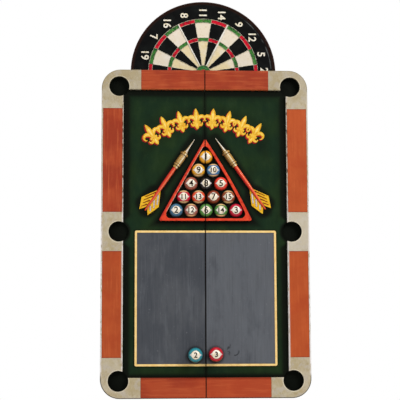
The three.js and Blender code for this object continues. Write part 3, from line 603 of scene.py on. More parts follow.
def turned_paint(name, side, sign, tones, width, light_at, light_width, coat, grooves=()):
    """Paint on a turned dart part: painted shade along its left edge, and a painted highlight line towards
    the right.
    tones: base, shade, glow and light, the painted highlight's colour. The widths are in millimetres across
    the part, and grooves are the places along the dart painted dark."""
    base, shade, glow, light = tones
    n = Nodes(f"{side}_{name}")
    point, towards = dart_line(side, sign)
    off_x = n.x - point.x
    off_z = n.z - point.z
    across = off_z * towards.x - off_x * towards.z
    along = off_x * towards.x + off_z * towards.z
    clouds = n.noise(9, 3, 0.5, seed=2.2)
    grain = n.noise(0.9, 2, 0.5, seed=3.1)
    n.colour = n.mix(n.ease(clouds, 0.4, 0.7) * 0.7, base, glow)
    n.paint(shade, n.ease(across, -width * 0.08, -width * 0.42) * 0.85)
    off_light = abs(across - light_at) + (clouds - 0.5) * light_width
    n.paint(light, n.ease(off_light, light_width * 0.7, light_width * 0.2) * 0.9)
    for place in grooves:
        n.paint(shade, n.ease(abs(along - place), 1.5, 0.5) * 0.85)
    return n.finish(clouds * 0.15 + 0.2, grain, 0.04, coat=coat)


def rack_paint():
    """Orange red with a darker outer edge, and a cream painted highlight in patches along the inner edge of
    the left side.
    """
    n = Nodes("rack_red")
    clouds = n.noise(10, 4, 0.6, seed=2.4)
    grain = n.noise(0.8, 2, 0.5, seed=1.1)
    n.colour = n.mix(n.ease(clouds, 0.34, 0.5), "c03320", "e24529")
    n.paint("f06038", n.ease(clouds, 0.54, 0.72) * 0.8)
    outwards = past_rack_side(n)
    on_left = n.ease(n.x, -4, -8)
    n.paint("9c1a22", n.ease(outwards, -1.6, -0.2) * on_left * 0.6)
    patchy = n.ease(n.noise(16, seed=8.0), 0.36, 0.52)
    # painted highlight along the inner edge of the left side
    inner_edge_highlight = n.ease(outwards, 1.5 - RACK_BAR, 0.6 - RACK_BAR) * on_left * patchy
    n.paint("eed9bd", inner_edge_highlight * n.ease(n.z, RACK_BASE + 20, RACK_BASE + 30) * 0.9)
    n.paint_seam()
    return n.finish(clouds * 0.2 + 0.26, grain, 0.05, coat=0.35)


def round_paint(name, base, centre, radius, striped, gloss):
    """A painted ball: shaded rim, a soft ring of light, the number's disc with two pointed painted highlights
    beside it.
    """
    n = Nodes(name)
    across = (n.x - centre.x) / radius
    up = (n.z - centre.z) / radius
    reach = n.reach(across, up)
    clouds = n.noise(6, seed=centre.x * 0.013 + centre.z * 0.017)
    paint = hex_colour(base)
    lighter = tuple(min(1.0, c * 1.6 + 0.012) for c in paint[:3]) + (1.0,)
    darker = tuple(c * 0.3 for c in paint[:3]) + (1.0,)
    n.colour = n.mix(n.ease(clouds, 0.4, 0.75) * 0.4, paint, lighter)
    n.paint(lighter, n.band(reach, 0.62, 0.72, 0.76, 0.9) * 0.5)
    if striped:
        bowed = abs(up) + across * across * 0.22
        n.paint("eac488", n.ease(bowed, 0.70, 0.75))
        n.paint(darker, n.band(bowed, 0.62, 0.69, 0.71, 0.76) * 0.6)
    n.paint(darker, n.ease(reach, 0.87, 0.97) * 0.8)
    side = abs(across)
    point = (0.84 - side) * 0.85 - abs(up)
    # two pointed painted highlights beside the number's disc
    n.paint("efe9e6", n.ease(point, 0.0, 0.05) * n.ease(side, 0.3, 0.42) * 0.9)
    n.paint(darker, n.ease(reach, 0.67, 0.60) * 0.45)
    ivory = n.mix(n.ease(clouds, 0.35, 0.65), "f0dfbe", "fcf5e9")
    n.paint(ivory, n.ease(reach, 0.60, 0.56))
    n.paint_seam()
    return n.finish(0.28, clouds, 0.04, coat=gloss)


def board_paint(name, centre, radius, radii, first_turn, worn):
    """The scoring face of a dartboard, worked out from angle and reach. Its radii are in the order of
    BOARD_RINGS, in millimetres. first_turn is how far clockwise from the top its sector for 20 is, and worn
    how ragged its edges are, in millimetres."""
    n = Nodes(name)
    double_outer, double_inner, triple_outer, triple_inner, bull_outer, bull_inner = radii
    wobble = (n.noise(7, seed=3.3) - 0.5) * worn
    ragged = (n.noise(3.5, 4, 0.7, seed=9.3) - 0.5) * (worn * 2)
    dx = n.x - centre.x + ragged
    dz = n.z - centre.z
    reach = n.reach(dx, dz) + wobble
    steps = (n.maths("ARCTAN2", dx, dz) - (first_turn - SECTOR / 2)) / SECTOR
    odd = n.maths("FLOORED_MODULO", n.maths("FLOOR", steps), 2.0)
    edge = 0.35

    def outside(limit):
        return n.ease(reach, limit - edge, limit + edge)

    def inside(limit):
        return n.ease(reach, limit + edge, limit - edge)

    # the paints: cream is whiter outside the triple ring
    fibre = n.noise(1.4, 3, 0.7, seed=4.4)
    cloud = n.noise(26, 4, 0.6, seed=5.5)
    patch = n.noise(8, seed=8.8)
    cream = n.mix(n.ease(reach, triple_inner, triple_outer), "e9d6a8", "e9dcc6")
    cream = n.mix(n.ease(cloud, 0.42, 0.7) * 0.6, cream, "efe7dc")
    cream = n.mix(n.ease(n.noise(7, seed=6.6), 0.55, 0.75) * 0.4, cream, "cdb178")
    black = n.mix(n.ease(cloud, 0.4, 0.7), "060707", "101211")
    red = n.mix(n.ease(patch, 0.36, 0.48), "8e1423", "cf142c")
    green = n.mix(n.ease(patch, 0.36, 0.6), "1f4f26", "3f8136")

    # beds, rings and bull, with flecks of cream worn through the green
    in_double = outside(double_inner) * inside(double_outer)
    in_ring = n.larger(in_double, outside(triple_inner) * inside(triple_outer))
    n.colour = n.mix(odd, black, cream)
    n.paint(n.mix(odd, red, green), in_ring)
    n.paint(black, outside(double_outer))
    fleck = n.ease(n.noise(3.0, 3, 0.7, seed=12.5), 0.58, 0.66) * min(1.0, worn)
    n.paint("b9b07c", fleck * in_ring * odd * 0.5)
    n.paint(n.mix(fleck * 0.6, "33723a", "a9a873"), inside(bull_outer))
    n.paint("c21d30", inside(bull_inner))

    # a brown rim, a glint inside it on the right, and bare wood behind the face
    n.paint("2c1710", n.ease(reach, radius - 11, radius - 3))
    glint = n.band(reach, radius - 13.0, radius - 12.0, radius - 11.2, radius - 10.0)
    to_right = n.ease(dx + dz * 0.4, radius * 0.8, radius * 0.95)
    n.paint("8f9291", glint * n.ease(cloud, 0.4, 0.6) * to_right * 0.4)
    n.paint(n.stained_wood(*CASE_WOOD), n.ease(n.y, centre.y + 6.0, centre.y + 7.5))
    return n.finish(fibre * 0.25 + 0.5, fibre, 0.15)


def wood_grain(name, dark, light, along="z", roughness=0.5, coat=0.1):
    """Stained wood with long grain and fine pores."""
    n = Nodes(name)
    grain = n.noise(5.0, 5, 0.62, long_along(along, 18), seed=1.9)
    pores = n.noise(0.8, 2, 0.5, long_along(along, 18), seed=6.1)
    n.colour = n.mix(n.ease(grain, 0.34, 0.68), dark, light)
    n.paint(dark, n.ease(pores, 0.6, 0.75) * 0.4)
    return n.finish(grain * 0.25 + (roughness - 0.1), grain + pores, 0.15, coat=coat)


def metal(name, base, dark, along="z", roughness=0.32, size=0.6):
    """Metal with fine brush marks and faint tarnish."""
    n = Nodes(name)
    marks = n.noise(size, 3, 0.6, long_along(along, 30), seed=1.0)
    tarnish = n.noise(9, 4, 0.6, seed=2.0)
    n.colour = n.mix(n.ease(tarnish, 0.4, 0.75), base, dark)
    return n.finish(marks * 0.2 + (roughness - 0.08), marks, 0.02, metallic=1.0)


# ---------------------------------------------------------------- meshes


def add_object(name, bm, materials):
    """Puts a bmesh in the scene as an object with these materials in its slots."""
    mesh = bpy.data.meshes.new(name)
    bm.to_mesh(mesh)
    bm.free()
    for material in materials:
        mesh.materials.append(material)
    made = bpy.data.objects.new(name, mesh)
    bpy.context.scene.collection.objects.link(made)
    return made


def piece(name, bm, materials, body, nodes=(), bevel=None, segments=3):
    """Shows a piece made from a bmesh. Edges with a bevel weight are rounded, other hard edges stay crisp."""
    bm.normal_update()
    weights = bm.edges.layers.float.get("bevel_weight_edge")
    for edge in bm.edges:
        rounded = weights is not None and edge[weights] > 0
        edge.smooth = rounded or len(edge.link_faces) != 2 or edge.calc_face_angle(0.0) < HARD_EDGE
    for face in bm.faces:
        face.smooth = True
    made = add_object(name, bm, materials)
    if bevel:
        rounding = made.modifiers.new("rounded_edges", "BEVEL")
        rounding.limit_method = "WEIGHT"
        rounding.width = bevel * MM
        rounding.segments = segments
        rounding.use_clamp_overlap = True
        flat = made.modifiers.new("flat_faces", "WEIGHTED_NORMAL")
        flat.keep_sharp = True
    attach(made, body)
    if nodes:
        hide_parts(*nodes)


def finished(node, bm, materials, body, bevel=None, choose=None, segments=3):
    """A piece shown in place of a CAD node. With a bevel, each hard edge is rounded by the width that
    choose(middle, direction) asks for, up to the bevel, or by the bevel itself if nothing chooses."""
    if bevel:
        layer = bm.edges.layers.float.new("bevel_weight_edge")
        bm.normal_update()
        for edge in bm.edges:
            if len(edge.link_faces) == 2 and edge.calc_face_angle(0.0) > HARD_EDGE:
                a, b = (v.co / MM for v in edge.verts)
                width = choose((a + b) / 2, (b - a).normalized()) if choose else bevel
                edge[layer] = min(1.0, width / bevel)
    piece(f"{node}_finished", bm, materials, body, (node,), bevel=bevel, segments=segments)


def front_edges(width, deepest):
    """A choice for finished: the edges in front of a depth, apart from those at the seam."""

    def choose(middle, direction):
        return width if middle.y < deepest and abs(middle.x) > SEAM_EDGE + 0.1 else 0.0

    return choose


def softened(node, material, body, width, choose=None):
    """The CAD node's own shape, its flat faces joined up, with rounded edges and a better finish."""
    bm = bmesh.new()
    bm.from_mesh(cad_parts[node].data)
    bmesh.ops.remove_doubles(bm, verts=bm.verts, dist=2e-6)
    bmesh.ops.dissolve_limit(bm, angle_limit=math.radians(1), verts=bm.verts, edges=bm.edges)
    finished(node, bm, [material], body, width, choose)


def arc(centre_x, centre_z, radius, start, end, steps):
    """Points round an arc in X and Z, with both ends. Angles are in degrees from +X towards +Z."""
    turns = [math.radians(start + (end - start) * i / steps) for i in range(steps + 1)]
    return [(centre_x + radius * math.cos(t), centre_z + radius * math.sin(t)) for t in turns]


def whole_circle(centre_z, radius, steps):
    """Points right round a circle in X and Z, on the middle line."""
    return arc(0, centre_z, radius, 0, 360 * (steps - 1) / steps, steps - 1)


def oblong(x0, x1, z0, z1):
    """Four corners, in order round the outline."""
    return [(x0, z0), (x1, z0), (x1, z1), (x0, z1)]


def between(start, end, parts):
    """The points that divide a straight line into equal parts, without its ends."""
    return [tuple(a + (b - a) * i / parts for a, b in zip(start, end)) for i in range(1, parts)]


def at_depth(points, depth):
    return [Vector((x, depth, z)) for x, z in points]


def new_points(bm, places):
    return [bm.verts.new(place * MM) for place in places]


def circle(bm, middle, side, other, radius, count):
    """New points round a circle that lies along two directions square to one another."""
    turns = [2 * math.pi * i / count for i in range(count)]
    return new_points(bm, [middle + (side * math.cos(t) + other * math.sin(t)) * radius for t in turns])


def skin(bm, rows):
    """Faces from each closed row of points to the next. A row may be a single point."""
    made = []
    for low, high in zip(rows, rows[1:]):
        count = max(len(low), len(high))
        for i in range(count):
            j = (i + 1) % count
            corners = (low[i % len(low)], low[j % len(low)], high[j % len(high)], high[i % len(high)])
            made.append(bm.faces.new(list(dict.fromkeys(corners))))
    return made


def face_outwards(bm, faces, slot_index=0):
    """Finishes the faces of a closed shape, and gives them a place in the list of materials."""
    for face in faces:
        face.material_index = slot_index
    bmesh.ops.recalc_face_normals(bm, faces=faces)


def plate(loops, back, front, bm=None, slot_index=0):
    """A flat plate between two depths, from an outline and any holes in it."""
    bm = bm or bmesh.new()
    made = []
    rims = {back: [], front: []}
    for loop in loops:
        rows = [new_points(bm, at_depth(loop, depth)) for depth in rims]
        for rim, row in zip(rims.values(), rows):
            rim += [bm.edges.new(pair) for pair in zip(row, row[1:] + row[:1])]
        made += skin(bm, rows)
    for rim in rims.values():
        filled = bmesh.ops.triangle_fill(bm, use_beauty=True, use_dissolve=False, edges=rim)
        made += [part for part in filled["geom"] if isinstance(part, bmesh.types.BMFace)]
    face_outwards(bm, made, slot_index)
    return bm


def lathe(profile, place, towards, segments=48, bm=None, slot_index=0):
    """A turned shape from (radius, distance) pairs along a direction. It ends on the axis at both ends."""
    bm = bm or bmesh.new()
    axis = Vector(towards).normalized()
    side = axis.orthogonal().normalized()
    other = axis.cross(side)
    rows = []
    for radius, along in profile:
        middle = Vector(place) + axis * along
        rows.append(circle(bm, middle, side, other, radius, segments if radius else 1))
    face_outwards(bm, skin(bm, rows), slot_index)
    return bm


def cut_off(bm, place, outwards):
    """Removes what lies past a plane, and closes the cut."""
    geometry = bm.verts[:] + bm.edges[:] + bm.faces[:]
    plane = Vector(place) * MM
    cut = bmesh.ops.bisect_plane(bm, geom=geometry, plane_co=plane, plane_no=outwards, clear_outer=True)
    edges = [part for part in cut["geom_cut"] if isinstance(part, bmesh.types.BMEdge)]
    bmesh.ops.holes_fill(bm, edges=edges)
    bmesh.ops.recalc_face_normals(bm, faces=bm.faces)


def tube(points, radius, bm, sides=8, closed=False, slot_index=0):
    """A round wire through points that lie in one plane facing -Y."""
    up = Vector((0, -1, 0))
    last = len(points) - 1
    rows = []
    for i, point in enumerate(points):
        before = points[i - 1] if i or closed else point
        after = points[(i + 1) % len(points)] if i < last or closed else point
        across = (after - before).normalized().cross(up).normalized()
        rows.append(circle(bm, point, across, up, radius, sides))
    if closed:
        made = skin(bm, rows + rows[:1])
    else:
        made = skin(bm, rows) + [bm.faces.new(rows[0][::-1]), bm.faces.new(rows[-1])]
    face_outwards(bm, made, slot_index)


def drawn_text(text, height, thickness, boldness):
    """A bmesh of upright text in X and Y, as thick as this in Z."""
    curve = bpy.data.curves.new("figure", "FONT")
    curve.body = text
    curve.size = height * FONT_SIZE
    curve.align_x = "CENTER"
    curve.align_y = "CENTER"
    curve.extrude = thickness / 2
    curve.offset = boldness
    curve.resolution_u = 4
    drawn = bpy.data.objects.new("figure", curve)
    part = bmesh.new()
    part.from_mesh(drawn.to_mesh())
    drawn.to_mesh_clear()
    bpy.data.objects.remove(drawn)
    bpy.data.curves.remove(curve)
    bmesh.ops.remove_doubles(part, verts=part.verts, dist=0.001)
    bmesh.ops.triangulate(part, faces=part.faces)
    return part


def figure(text, height, place, up, thickness, boldness, bm, surface=None, slot_index=0):
    """A number standing on a face that looks along -Y. With a surface, it follows that surface's depth."""
    part = drawn_text(text, height, thickness, boldness)
    if surface:
        for _ in range(2):
            long_edges = [e for e in part.edges if e.calc_length() > height / 9]
            bmesh.ops.subdivide_edges(part, edges=long_edges, cuts=1)
            bmesh.ops.triangulate(part, faces=part.faces)
    spans = [[v.co[i] for v in part.verts] for i in (0, 1)]
    middle = Vector([(min(span) + max(span)) / 2 for span in spans] + [0])
    up = Vector(up).normalized()
    right = Vector((0, 1, 0)).cross(up)
    for vert in part.verts:
        local = vert.co - middle
        spot = Vector(place) + right * local.x + up * local.y
        depth = surface(spot) if surface else spot.y
        vert.co = Vector((spot.x, depth - local.z - thickness / 2 + FIGURE_SINK, spot.z)) * MM
    for face in part.faces:
        face.material_index = slot_index
    held = bpy.data.meshes.new("figure")
    part.to_mesh(held)
    part.free()
    bm.from_mesh(held)
    bpy.data.meshes.remove(held)


# ---------------------------------------------------------------- shared finishes

orange = {axis: rail_paint(axis) for axis in "xz"}
cream = casting_paint()
field = field_paint()
slate = slate_paint()
# Each plain paint: base, darker and lighter tone, roughness, clear coat, and size of its clouds
chalk_border = plain_paint("chalk_border_yellow", "fad48a", "f0c87c", "ffe0a0", 0.45, 0.0, 9, True)
rack_red = rack_paint()
flight_yellow = plain_paint("flight_yellow", "efb928", "d99a1c", "ffdb4e", 0.4, 0.2, 6)
flight_brown = plain_paint("flight_brown", "74230f", "54170b", "8f3b18", 0.5, 0.0, 4)
flight_pale = plain_paint("flight_pale", "d6ccc0", "aca0a0", "efe9e6", 0.45, 0.0, 4)
shade_black = plain_paint("shade_black", "0b0d0a", "070807", "12150f", 0.6, 0.0, 9)
ornament_gold = plain_paint("ornament_gold", "f2be38", "e2a424", "fdd356", 0.4, 0.15, 9)
ornament_highlight = plain_paint("ornament_highlight", "fdd870", "f4c74e", "fff0ac", 0.4, 0.15, 9)
ornament_crimson = plain_paint("ornament_crimson", "b01a28", "8c121d", "c62a38", 0.45, 0.0, 8)
figure_cream = plain_paint("figure_cream", "f0e7d2", "d6c7a2", "fcf8f0", 0.5, 0.05, 7)
figure_black = plain_paint("figure_black", "2a1d14", "120d0a", "4a3524", 0.45, 0.0, 3)
wire_cream = plain_paint("wire_cream", "b9b29c", "3f4038", "f3efe4", 0.5, 0.0, 5)
wire_white = plain_paint("wire_white", "f1ece0", "dcd3bf", "fbf8f2", 0.45, 0.0, 9)
# Each wood and metal: its tones, the way its grain or brushing runs, and its roughness
case_wood = wood_grain("case_wood", *CASE_WOOD, "z", 0.5, 0.12)
case_wood_level = wood_grain("case_wood_level", *CASE_WOOD, "x", 0.5, 0.12)
back_wood = wood_grain("back_wood", "2a1d13", "4a3524", "z", 0.62, 0.0)
holder_wood = wood_grain("holder_wood", "3a1e10", "6b3b20", "x", 0.42, 0.25)
brass = metal("hinge_brass", "b39558", "7d6436", "z", 0.26)
steel = metal("zinc_steel", "b4b7ba", "8b8e92")
bright_wire = metal("bright_wire", "c9ccd0", "9fa2a6", "x", 0.28, 1.0)
black_steel = metal("black_steel", "2a2b2e", "17181a", "x", 0.4)

# ---------------------------------------------------------------- case


def case():
    """The dark wooden box, its wall plates and the board's bracket."""
    softened("back_panel", back_wood, "cabinet", 0.8)
    for name, _ in SIDES:
        softened(f"{name}_side_panel", case_wood, "cabinet", 1.0)
        softened(f"{name}_hanger_plate", steel, "cabinet", 0.3)
    softened("top_panel", case_wood_level, "cabinet", 1.0)
    softened("bottom_panel", case_wood_level, "cabinet", 1.0)
    softened("board_bracket", black_steel, "cabinet", 0.4)


# ---------------------------------------------------------------- crest


def sector_direction(sectors):
    """The direction from a board's middle, this many sectors clockwise from straight up."""
    turn = sectors * SECTOR
    return Vector((math.sin(turn), 0, math.cos(turn)))


def crest():
    """Half a painted dartboard, turned a quarter to the right, with raised wires, a bead and numbers."""
    front = CREST_CENTRE.y
    centre_z = CREST_CENTRE.z
    radii = [CREST_RADIUS * share for share in CREST_RINGS]
    paint = board_paint("crest_paint", CREST_CENTRE, CREST_RADIUS, radii, first_turn=math.pi / 2, worn=1.3)
    outline = [(-CREST_RADIUS, CREST_FOOT), (CREST_RADIUS, CREST_FOOT)]
    outline += arc(0, centre_z, CREST_RADIUS, 0, 180, 96)
    finished("crest_board", plate([outline], CREST_BACK, front), [paint], "cabinet", CREST_EDGE, segments=5)

    wires = bmesh.new()
    crest_wires(radii, wires)
    piece("crest_wires", wires, [wire_cream, wire_white], "cabinet")

    bead = bmesh.new()
    bead_radius = 1.8
    reach = CREST_RADIUS - CREST_EDGE - 0.4
    spread = math.degrees(math.asin((centre_z - CREST_FOOT - 1) / reach))
    tube(at_depth(arc(0, centre_z, reach, -spread, 180 + spread, 120), front + 0.4), bead_radius, bead, 10)
    piece("crest_bead", bead, [paint], "cabinet")

    figures = bmesh.new()
    quarter = len(BOARD_NUMBERS) // 4
    for k in range(len(BOARD_NUMBERS)):
        spot = CREST_CENTRE + sector_direction(k) * CREST_RADIUS * CREST_NUMBERS
        if spot.z > CREST_FOOT + 12:
            number = BOARD_NUMBERS[(k - quarter) % len(BOARD_NUMBERS)]
            spot.z += CREST_NUMBER_LIFT.get(number, 0.0)
            figure(str(number), 20.5, spot, (1, 0, 0), thickness=1.6, boldness=0.5, bm=figures)
    piece("crest_numbers", figures, [figure_cream], "cabinet")


def crest_wires(radii, bm):
    """Hand-bent wires: five rings, and a straight wire at each side of a sector. Two of these are bold."""
    rng = random.Random(11)
    depth = CREST_CENTRE.y - 0.2
    centre_z = CREST_CENTRE.z
    for radius in radii[:5]:
        spread = min(88, math.degrees(math.asin(min(1.0, (centre_z - CREST_FOOT) / radius))))
        points = []
        for x, z in arc(0, centre_z, radius, -spread, 180 + spread, max(24, int(radius * 0.8))):
            drift = 1 + rng.uniform(-0.25, 0.25) / radius
            spot = Vector((x * drift, depth - rng.uniform(0.0, 0.25), centre_z + (z - centre_z) * drift))
            points.append(spot)
        tube([p for p in points if p.z > CREST_FOOT + 1], rng.uniform(0.55, 0.75), bm)

    start = radii[4]
    steps = 22
    for k in range(len(BOARD_NUMBERS)):
        direction = sector_direction(k + 0.5)
        across = Vector((direction.z, 0, -direction.x))
        reach = radii[0]
        if direction.z < 0:
            reach = min(reach, (centre_z - CREST_FOOT - 2) / -direction.z)
        if reach <= start + 4:
            continue
        radius = CREST_BOLD_WIRES.get(k, 0.55)
        points = []
        for i in range(steps + 1):
            sway = rng.uniform(-0.3, 0.3)
            spot = CREST_CENTRE + direction * (start + (reach - start) * i / steps) + across * sway
            points.append(Vector((spot.x, depth - rng.uniform(0.0, 0.25), spot.z)))
        tube(points, radius, bm, slot_index=int(k in CREST_BOLD_WIRES))


# ---------------------------------------------------------------- dartboard inside


def dartboard():
    """The working board: bristle bed, steel band, wire web and a number ring."""
    centre = BOARD_CENTRE
    face = board_paint("bristle_face", centre, BOARD_RADIUS * 2, BOARD_RINGS, first_turn=0.0, worn=0.3)
    back = corner("sisal_bed", 1).y
    radius = corner("sisal_bed", 1).x
    thickness = back - BOARD_FRONT
    blunt = 0.8
    profile = ((0, 0), (radius, 0), (radius, thickness - blunt), (radius - blunt, thickness), (0, thickness))
    bed = lathe(profile, (0, back, centre.z), (0, -1, 0), BOARD_STEPS)
    finished("sisal_bed", bed, [face], "dartboard")

    loops = [whole_circle(centre.z, reach, BOARD_STEPS) for reach in (BOARD_RADIUS, radius + 0.1)]
    band = plate(loops, back, BOARD_FRONT - 0.4)
    finished("steel_band", band, [black_steel], "dartboard", 0.5, segments=2)

    wire_depth = BOARD_FRONT - 0.8
    web = bmesh.new()
    for reach in BOARD_RINGS:
        steps = BOARD_STEPS if reach > 50 else 48
        tube(at_depth(whole_circle(centre.z, reach, steps), wire_depth), BOARD_WIRE, web, closed=True)

    def radial_wire(direction, low, high, thickness, sides, bm):
        ends = [centre + direction * reach for reach in (low, high)]
        tube([Vector((p.x, wire_depth, p.z)) for p in ends], thickness, bm, sides)

    for k in range(len(BOARD_NUMBERS)):
        radial_wire(sector_direction(k + 0.5), BOARD_RINGS[4], BOARD_RINGS[0] + 4, BOARD_WIRE, 8, web)
    finished("spider", web, [bright_wire], "dartboard")

    reach = corner("number_ring", 1).x - 1.6
    numbers = bmesh.new()
    tube(at_depth(whole_circle(centre.z, reach, BOARD_STEPS), wire_depth), 0.9, numbers, closed=True)
    for k, number in enumerate(BOARD_NUMBERS):
        direction = sector_direction(k)
        spot = centre + direction * (reach - 14)
        spot.y -= 0.5
        figure(str(number), 20, spot, direction, thickness=0.9, boldness=0.35, bm=numbers)
        radial_wire(direction, reach - 3.5, reach - 0.5, 0.7, 6, numbers)
    finished("number_ring", numbers, [bright_wire], "dartboard")
    softened("centre_screw", steel, "dartboard", 0.4)


# ---------------------------------------------------------------- doors: panels, castings and rails


def casting_outline(sign):
    """Half of the table's cream border: round outer corners, and a bite for each of three pockets."""
    low_angle = math.degrees(math.asin((POCKET_Z - FIELD_TOP) / POCKET_RADIUS))
    side_angle = math.degrees(math.acos((POCKET_X - FIELD_EDGE) / POCKET_RADIUS))
    straight_x = DOOR_EDGE - DOOR_CORNER
    straight_z = DOOR_TOP - DOOR_CORNER
    points = [(CASTING_X, -DOOR_TOP)]
    points += arc(straight_x, -straight_z, DOOR_CORNER, -90, 0, 24)
    points += arc(straight_x, straight_z, DOOR_CORNER, 0, 90, 24)
    points += [(CASTING_X, DOOR_TOP), (CASTING_X, FIELD_TOP)]
    points += arc(POCKET_X, POCKET_Z, POCKET_RADIUS, 180 + low_angle, -180 + side_angle, 56)
    points += arc(POCKET_X, 0, POCKET_RADIUS, 180 - side_angle, -180 + side_angle, 48)
    points += arc(POCKET_X, -POCKET_Z, POCKET_RADIUS, 180 - side_angle, -180 - low_angle, 56)
    points += [(CASTING_X, -FIELD_TOP)]
    return [(sign * x, z) for x, z in points]


def rail_window(sign, low, high):
    """The opening in a casting frame that a side rail stands in, with a little play."""
    play = 0.15
    return oblong(sign * (RAIL_INNER - play), sign * (RAIL_OUTER + play), low - play, high + play)


def casting_edge(middle, direction):
    """Wide rounding on the long outer and inner edges and round the pockets, hardly any at a joint."""
    away = abs(middle.x)
    high = abs(middle.z)
    if middle.y > RAIL_FACE + 1:
        return 0.0
    at_window = RAIL_INNER - 1 < away < RAIL_OUTER + 1 and RAIL_LOW - 1 < high < RAIL_HIGH + 1
    if at_window or away < CASTING_X + 0.5:
        return 0.25
    at_pocket = math.hypot(away - POCKET_X, min(abs(high - POCKET_Z), high)) < POCKET_RADIUS + 0.6
    return CASTING_EDGE / 2 if at_pocket else CASTING_EDGE


def end_rail_edge(middle, direction):
    """Wide rounding along the front of a rail, hardly any at its ends."""
    return 3.0 if abs(direction.x) > 0.9 and middle.y < RAIL_FACE + 1 else 0.25


def panel_edge(middle, direction):
    """No rounding at the seam."""
    return 0.0 if abs(middle.x) < 2 else 1.2


def door(name, sign):
    """The green panel, with its casting, its four rails and its half of the chalkboard."""
    body = f"{name}_door"
    softened(f"{name}_door_panel", field, body, 1.2, panel_edge)
    windows = [rail_window(sign, RAIL_LOW, RAIL_HIGH), rail_window(sign, -RAIL_HIGH, -RAIL_LOW)]
    casting = plate([casting_outline(sign)] + windows, FACING_BACK, RAIL_FACE)
    finished(f"{name}_casting_frame", casting, [cream], body, CASTING_EDGE, casting_edge, 5)
    for end in ("top", "bottom"):
        softened(f"{name}_{end}_rail", orange["x"], body, 3.0, end_rail_edge)
    for level in ("upper", "lower"):
        softened(f"{name}_{level}_side_rail", orange["z"], body, 0.35)
    chalkboard(name, sign, body)


def chalkboard(name, sign, body):
    """A slate panel with a raised yellow border on the three sides away from the seam."""
    radius = 4.5
    edge = CHALK_EDGE - CHALK_TRIM[name]
    inner = oblong(SEAM_EDGE, edge - CHALK_BORDER, CHALK_TOP - CHALK_BORDER, CHALK_BOTTOM + CHALK_BORDER)
    outer = [(SEAM_EDGE, CHALK_BOTTOM)]
    outer += arc(edge - radius, CHALK_BOTTOM + radius, radius, -90, 0, 6)
    outer += arc(edge - radius, CHALK_TOP - radius, radius, 0, 90, 6)
    outer += [(SEAM_EDGE, CHALK_TOP)]
    lip = 0.9
    flat_front = CHALK_FRONT + lip
    bm = plate([[(sign * x, z) for x, z in outer]], FACING_BACK, flat_front)
    plate([[(sign * x, z) for x, z in outer + inner]], flat_front + 0.2, CHALK_FRONT, bm, 1)
    choose = front_edges(lip, CHALK_FRONT + 0.05)
    finished(f"{name}_chalk_panel", bm, [slate, chalk_border], body, lip, choose)


# ---------------------------------------------------------------- rack and balls


def rack(name, sign):
    """Half of the red triangle, with round inner corners. Each side bows a little, as cut by hand."""
    slope = Vector((RACK_EDGE, 0, RACK_BASE - RACK_APEX)).normalized()
    lean = math.degrees(math.atan2(-slope.z, slope.x))
    inner_apex = RACK_APEX - RACK_BAR / slope.x
    inner_base = RACK_BASE + RACK_BAR
    outer_apex = RACK_APEX + SEAM_EDGE * slope.z / slope.x
    sides = 10
    outer_radius = 3.2

    # the inner outline is round in its lower corner, and arches under the apex
    low_radius = 11.0
    inner_corner_x = (inner_apex - inner_base) * slope.x / -slope.z
    low_centre_x = inner_corner_x - low_radius / math.tan(math.radians(lean) / 2)
    low_arc = arc(low_centre_x, inner_base + low_radius, low_radius, 90 - lean, -90, 14)
    arch_top = RACK_APEX - 20.5
    arch_centre_z = (arch_top - slope.x * inner_apex) / (1 - slope.x)
    arch = arc(0, arch_centre_z, arch_top - arch_centre_z, 84, 90 - lean, 8)

    points = [(SEAM_EDGE, RACK_BASE), (RACK_EDGE - 5, RACK_BASE)]
    points += arc(RACK_EDGE - 4, RACK_BASE + outer_radius, outer_radius, -80, 30, 6)
    points += between(points[-1], (SEAM_EDGE, outer_apex), sides)
    points += [(SEAM_EDGE, outer_apex)] + arch
    points += between(arch[-1], low_arc[0], sides)
    points += low_arc + [(SEAM_EDGE, inner_base)]

    middle, half = (RACK_APEX + RACK_BASE) / 2, (RACK_APEX - RACK_BASE) / 2

    def bowed(x, z):
        by_height = max(0.0, 1 - ((z - middle) / half) ** 2)
        off_seam = min(1.0, (x - SEAM_EDGE) / 9)
        return sign * (x + RACK_BOW[name] * by_height * off_seam), z

    bm = plate([[bowed(x, z) for x, z in points]], FACING_BACK, corner("right_rack_half", 0).y)
    rounding = 1.8
    choose = front_edges(rounding, RAIL_FACE + 4)
    finished(f"{name}_rack_half", bm, [rack_red], f"{name}_door", rounding, choose, 4)


def balls():
    """Fifteen numbered domes. Those on the seam are two half balls, one to each door."""
    wholes = {}
    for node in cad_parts:
        if node.startswith("ball_"):
            wholes.setdefault(int(node.split("_")[1]), []).append(node)
    for number, nodes in wholes.items():
        low = [min(corner(node, 0)[i] for node in nodes) for i in range(3)]
        high = [max(corner(node, 1)[i] for node in nodes) for i in range(3)]
        centre = Vector(((low[0] + high[0]) / 2 + BALLS_OFF_TRUE, FACING_BACK, (low[2] + high[2]) / 2))
        radius = (high[2] - low[2]) / 2 + BALL_SWELL
        rise = FACING_BACK - low[1]
        striped = number > 8
        paint = round_paint(f"ball_{number}_paint", BALL_PAINT[number], centre, radius, striped, gloss=0.5)

        def surface(spot):
            share = min(0.98, ((spot.x - centre.x) ** 2 + (spot.z - centre.z) ** 2) / radius**2)
            return FACING_BACK - rise * math.sqrt(1 - share)

        steps = 12
        turns = [math.pi / 2 * i / steps for i in range(steps)]
        dome = [(0, 0)] + [(radius * math.cos(t), rise * math.sin(t)) for t in turns] + [(0, rise)]
        height = 16.4 if number < 10 else 13.6
        for node in nodes:
            side, sign = SIDES[0] if corner(node, 0).x < -1 else SIDES[1]
            bm = lathe(dome, centre, (0, -1, 0))
            figure(str(number), height, centre, (0, 0, 1), 0.7, 0.34, bm, surface, slot_index=1)
            if len(nodes) > 1:
                cut_off(bm, (sign * SEAM_EDGE, 0, 0), (-sign, 0, 0))
            finished(node, bm, [paint, figure_black], f"{side}_door")


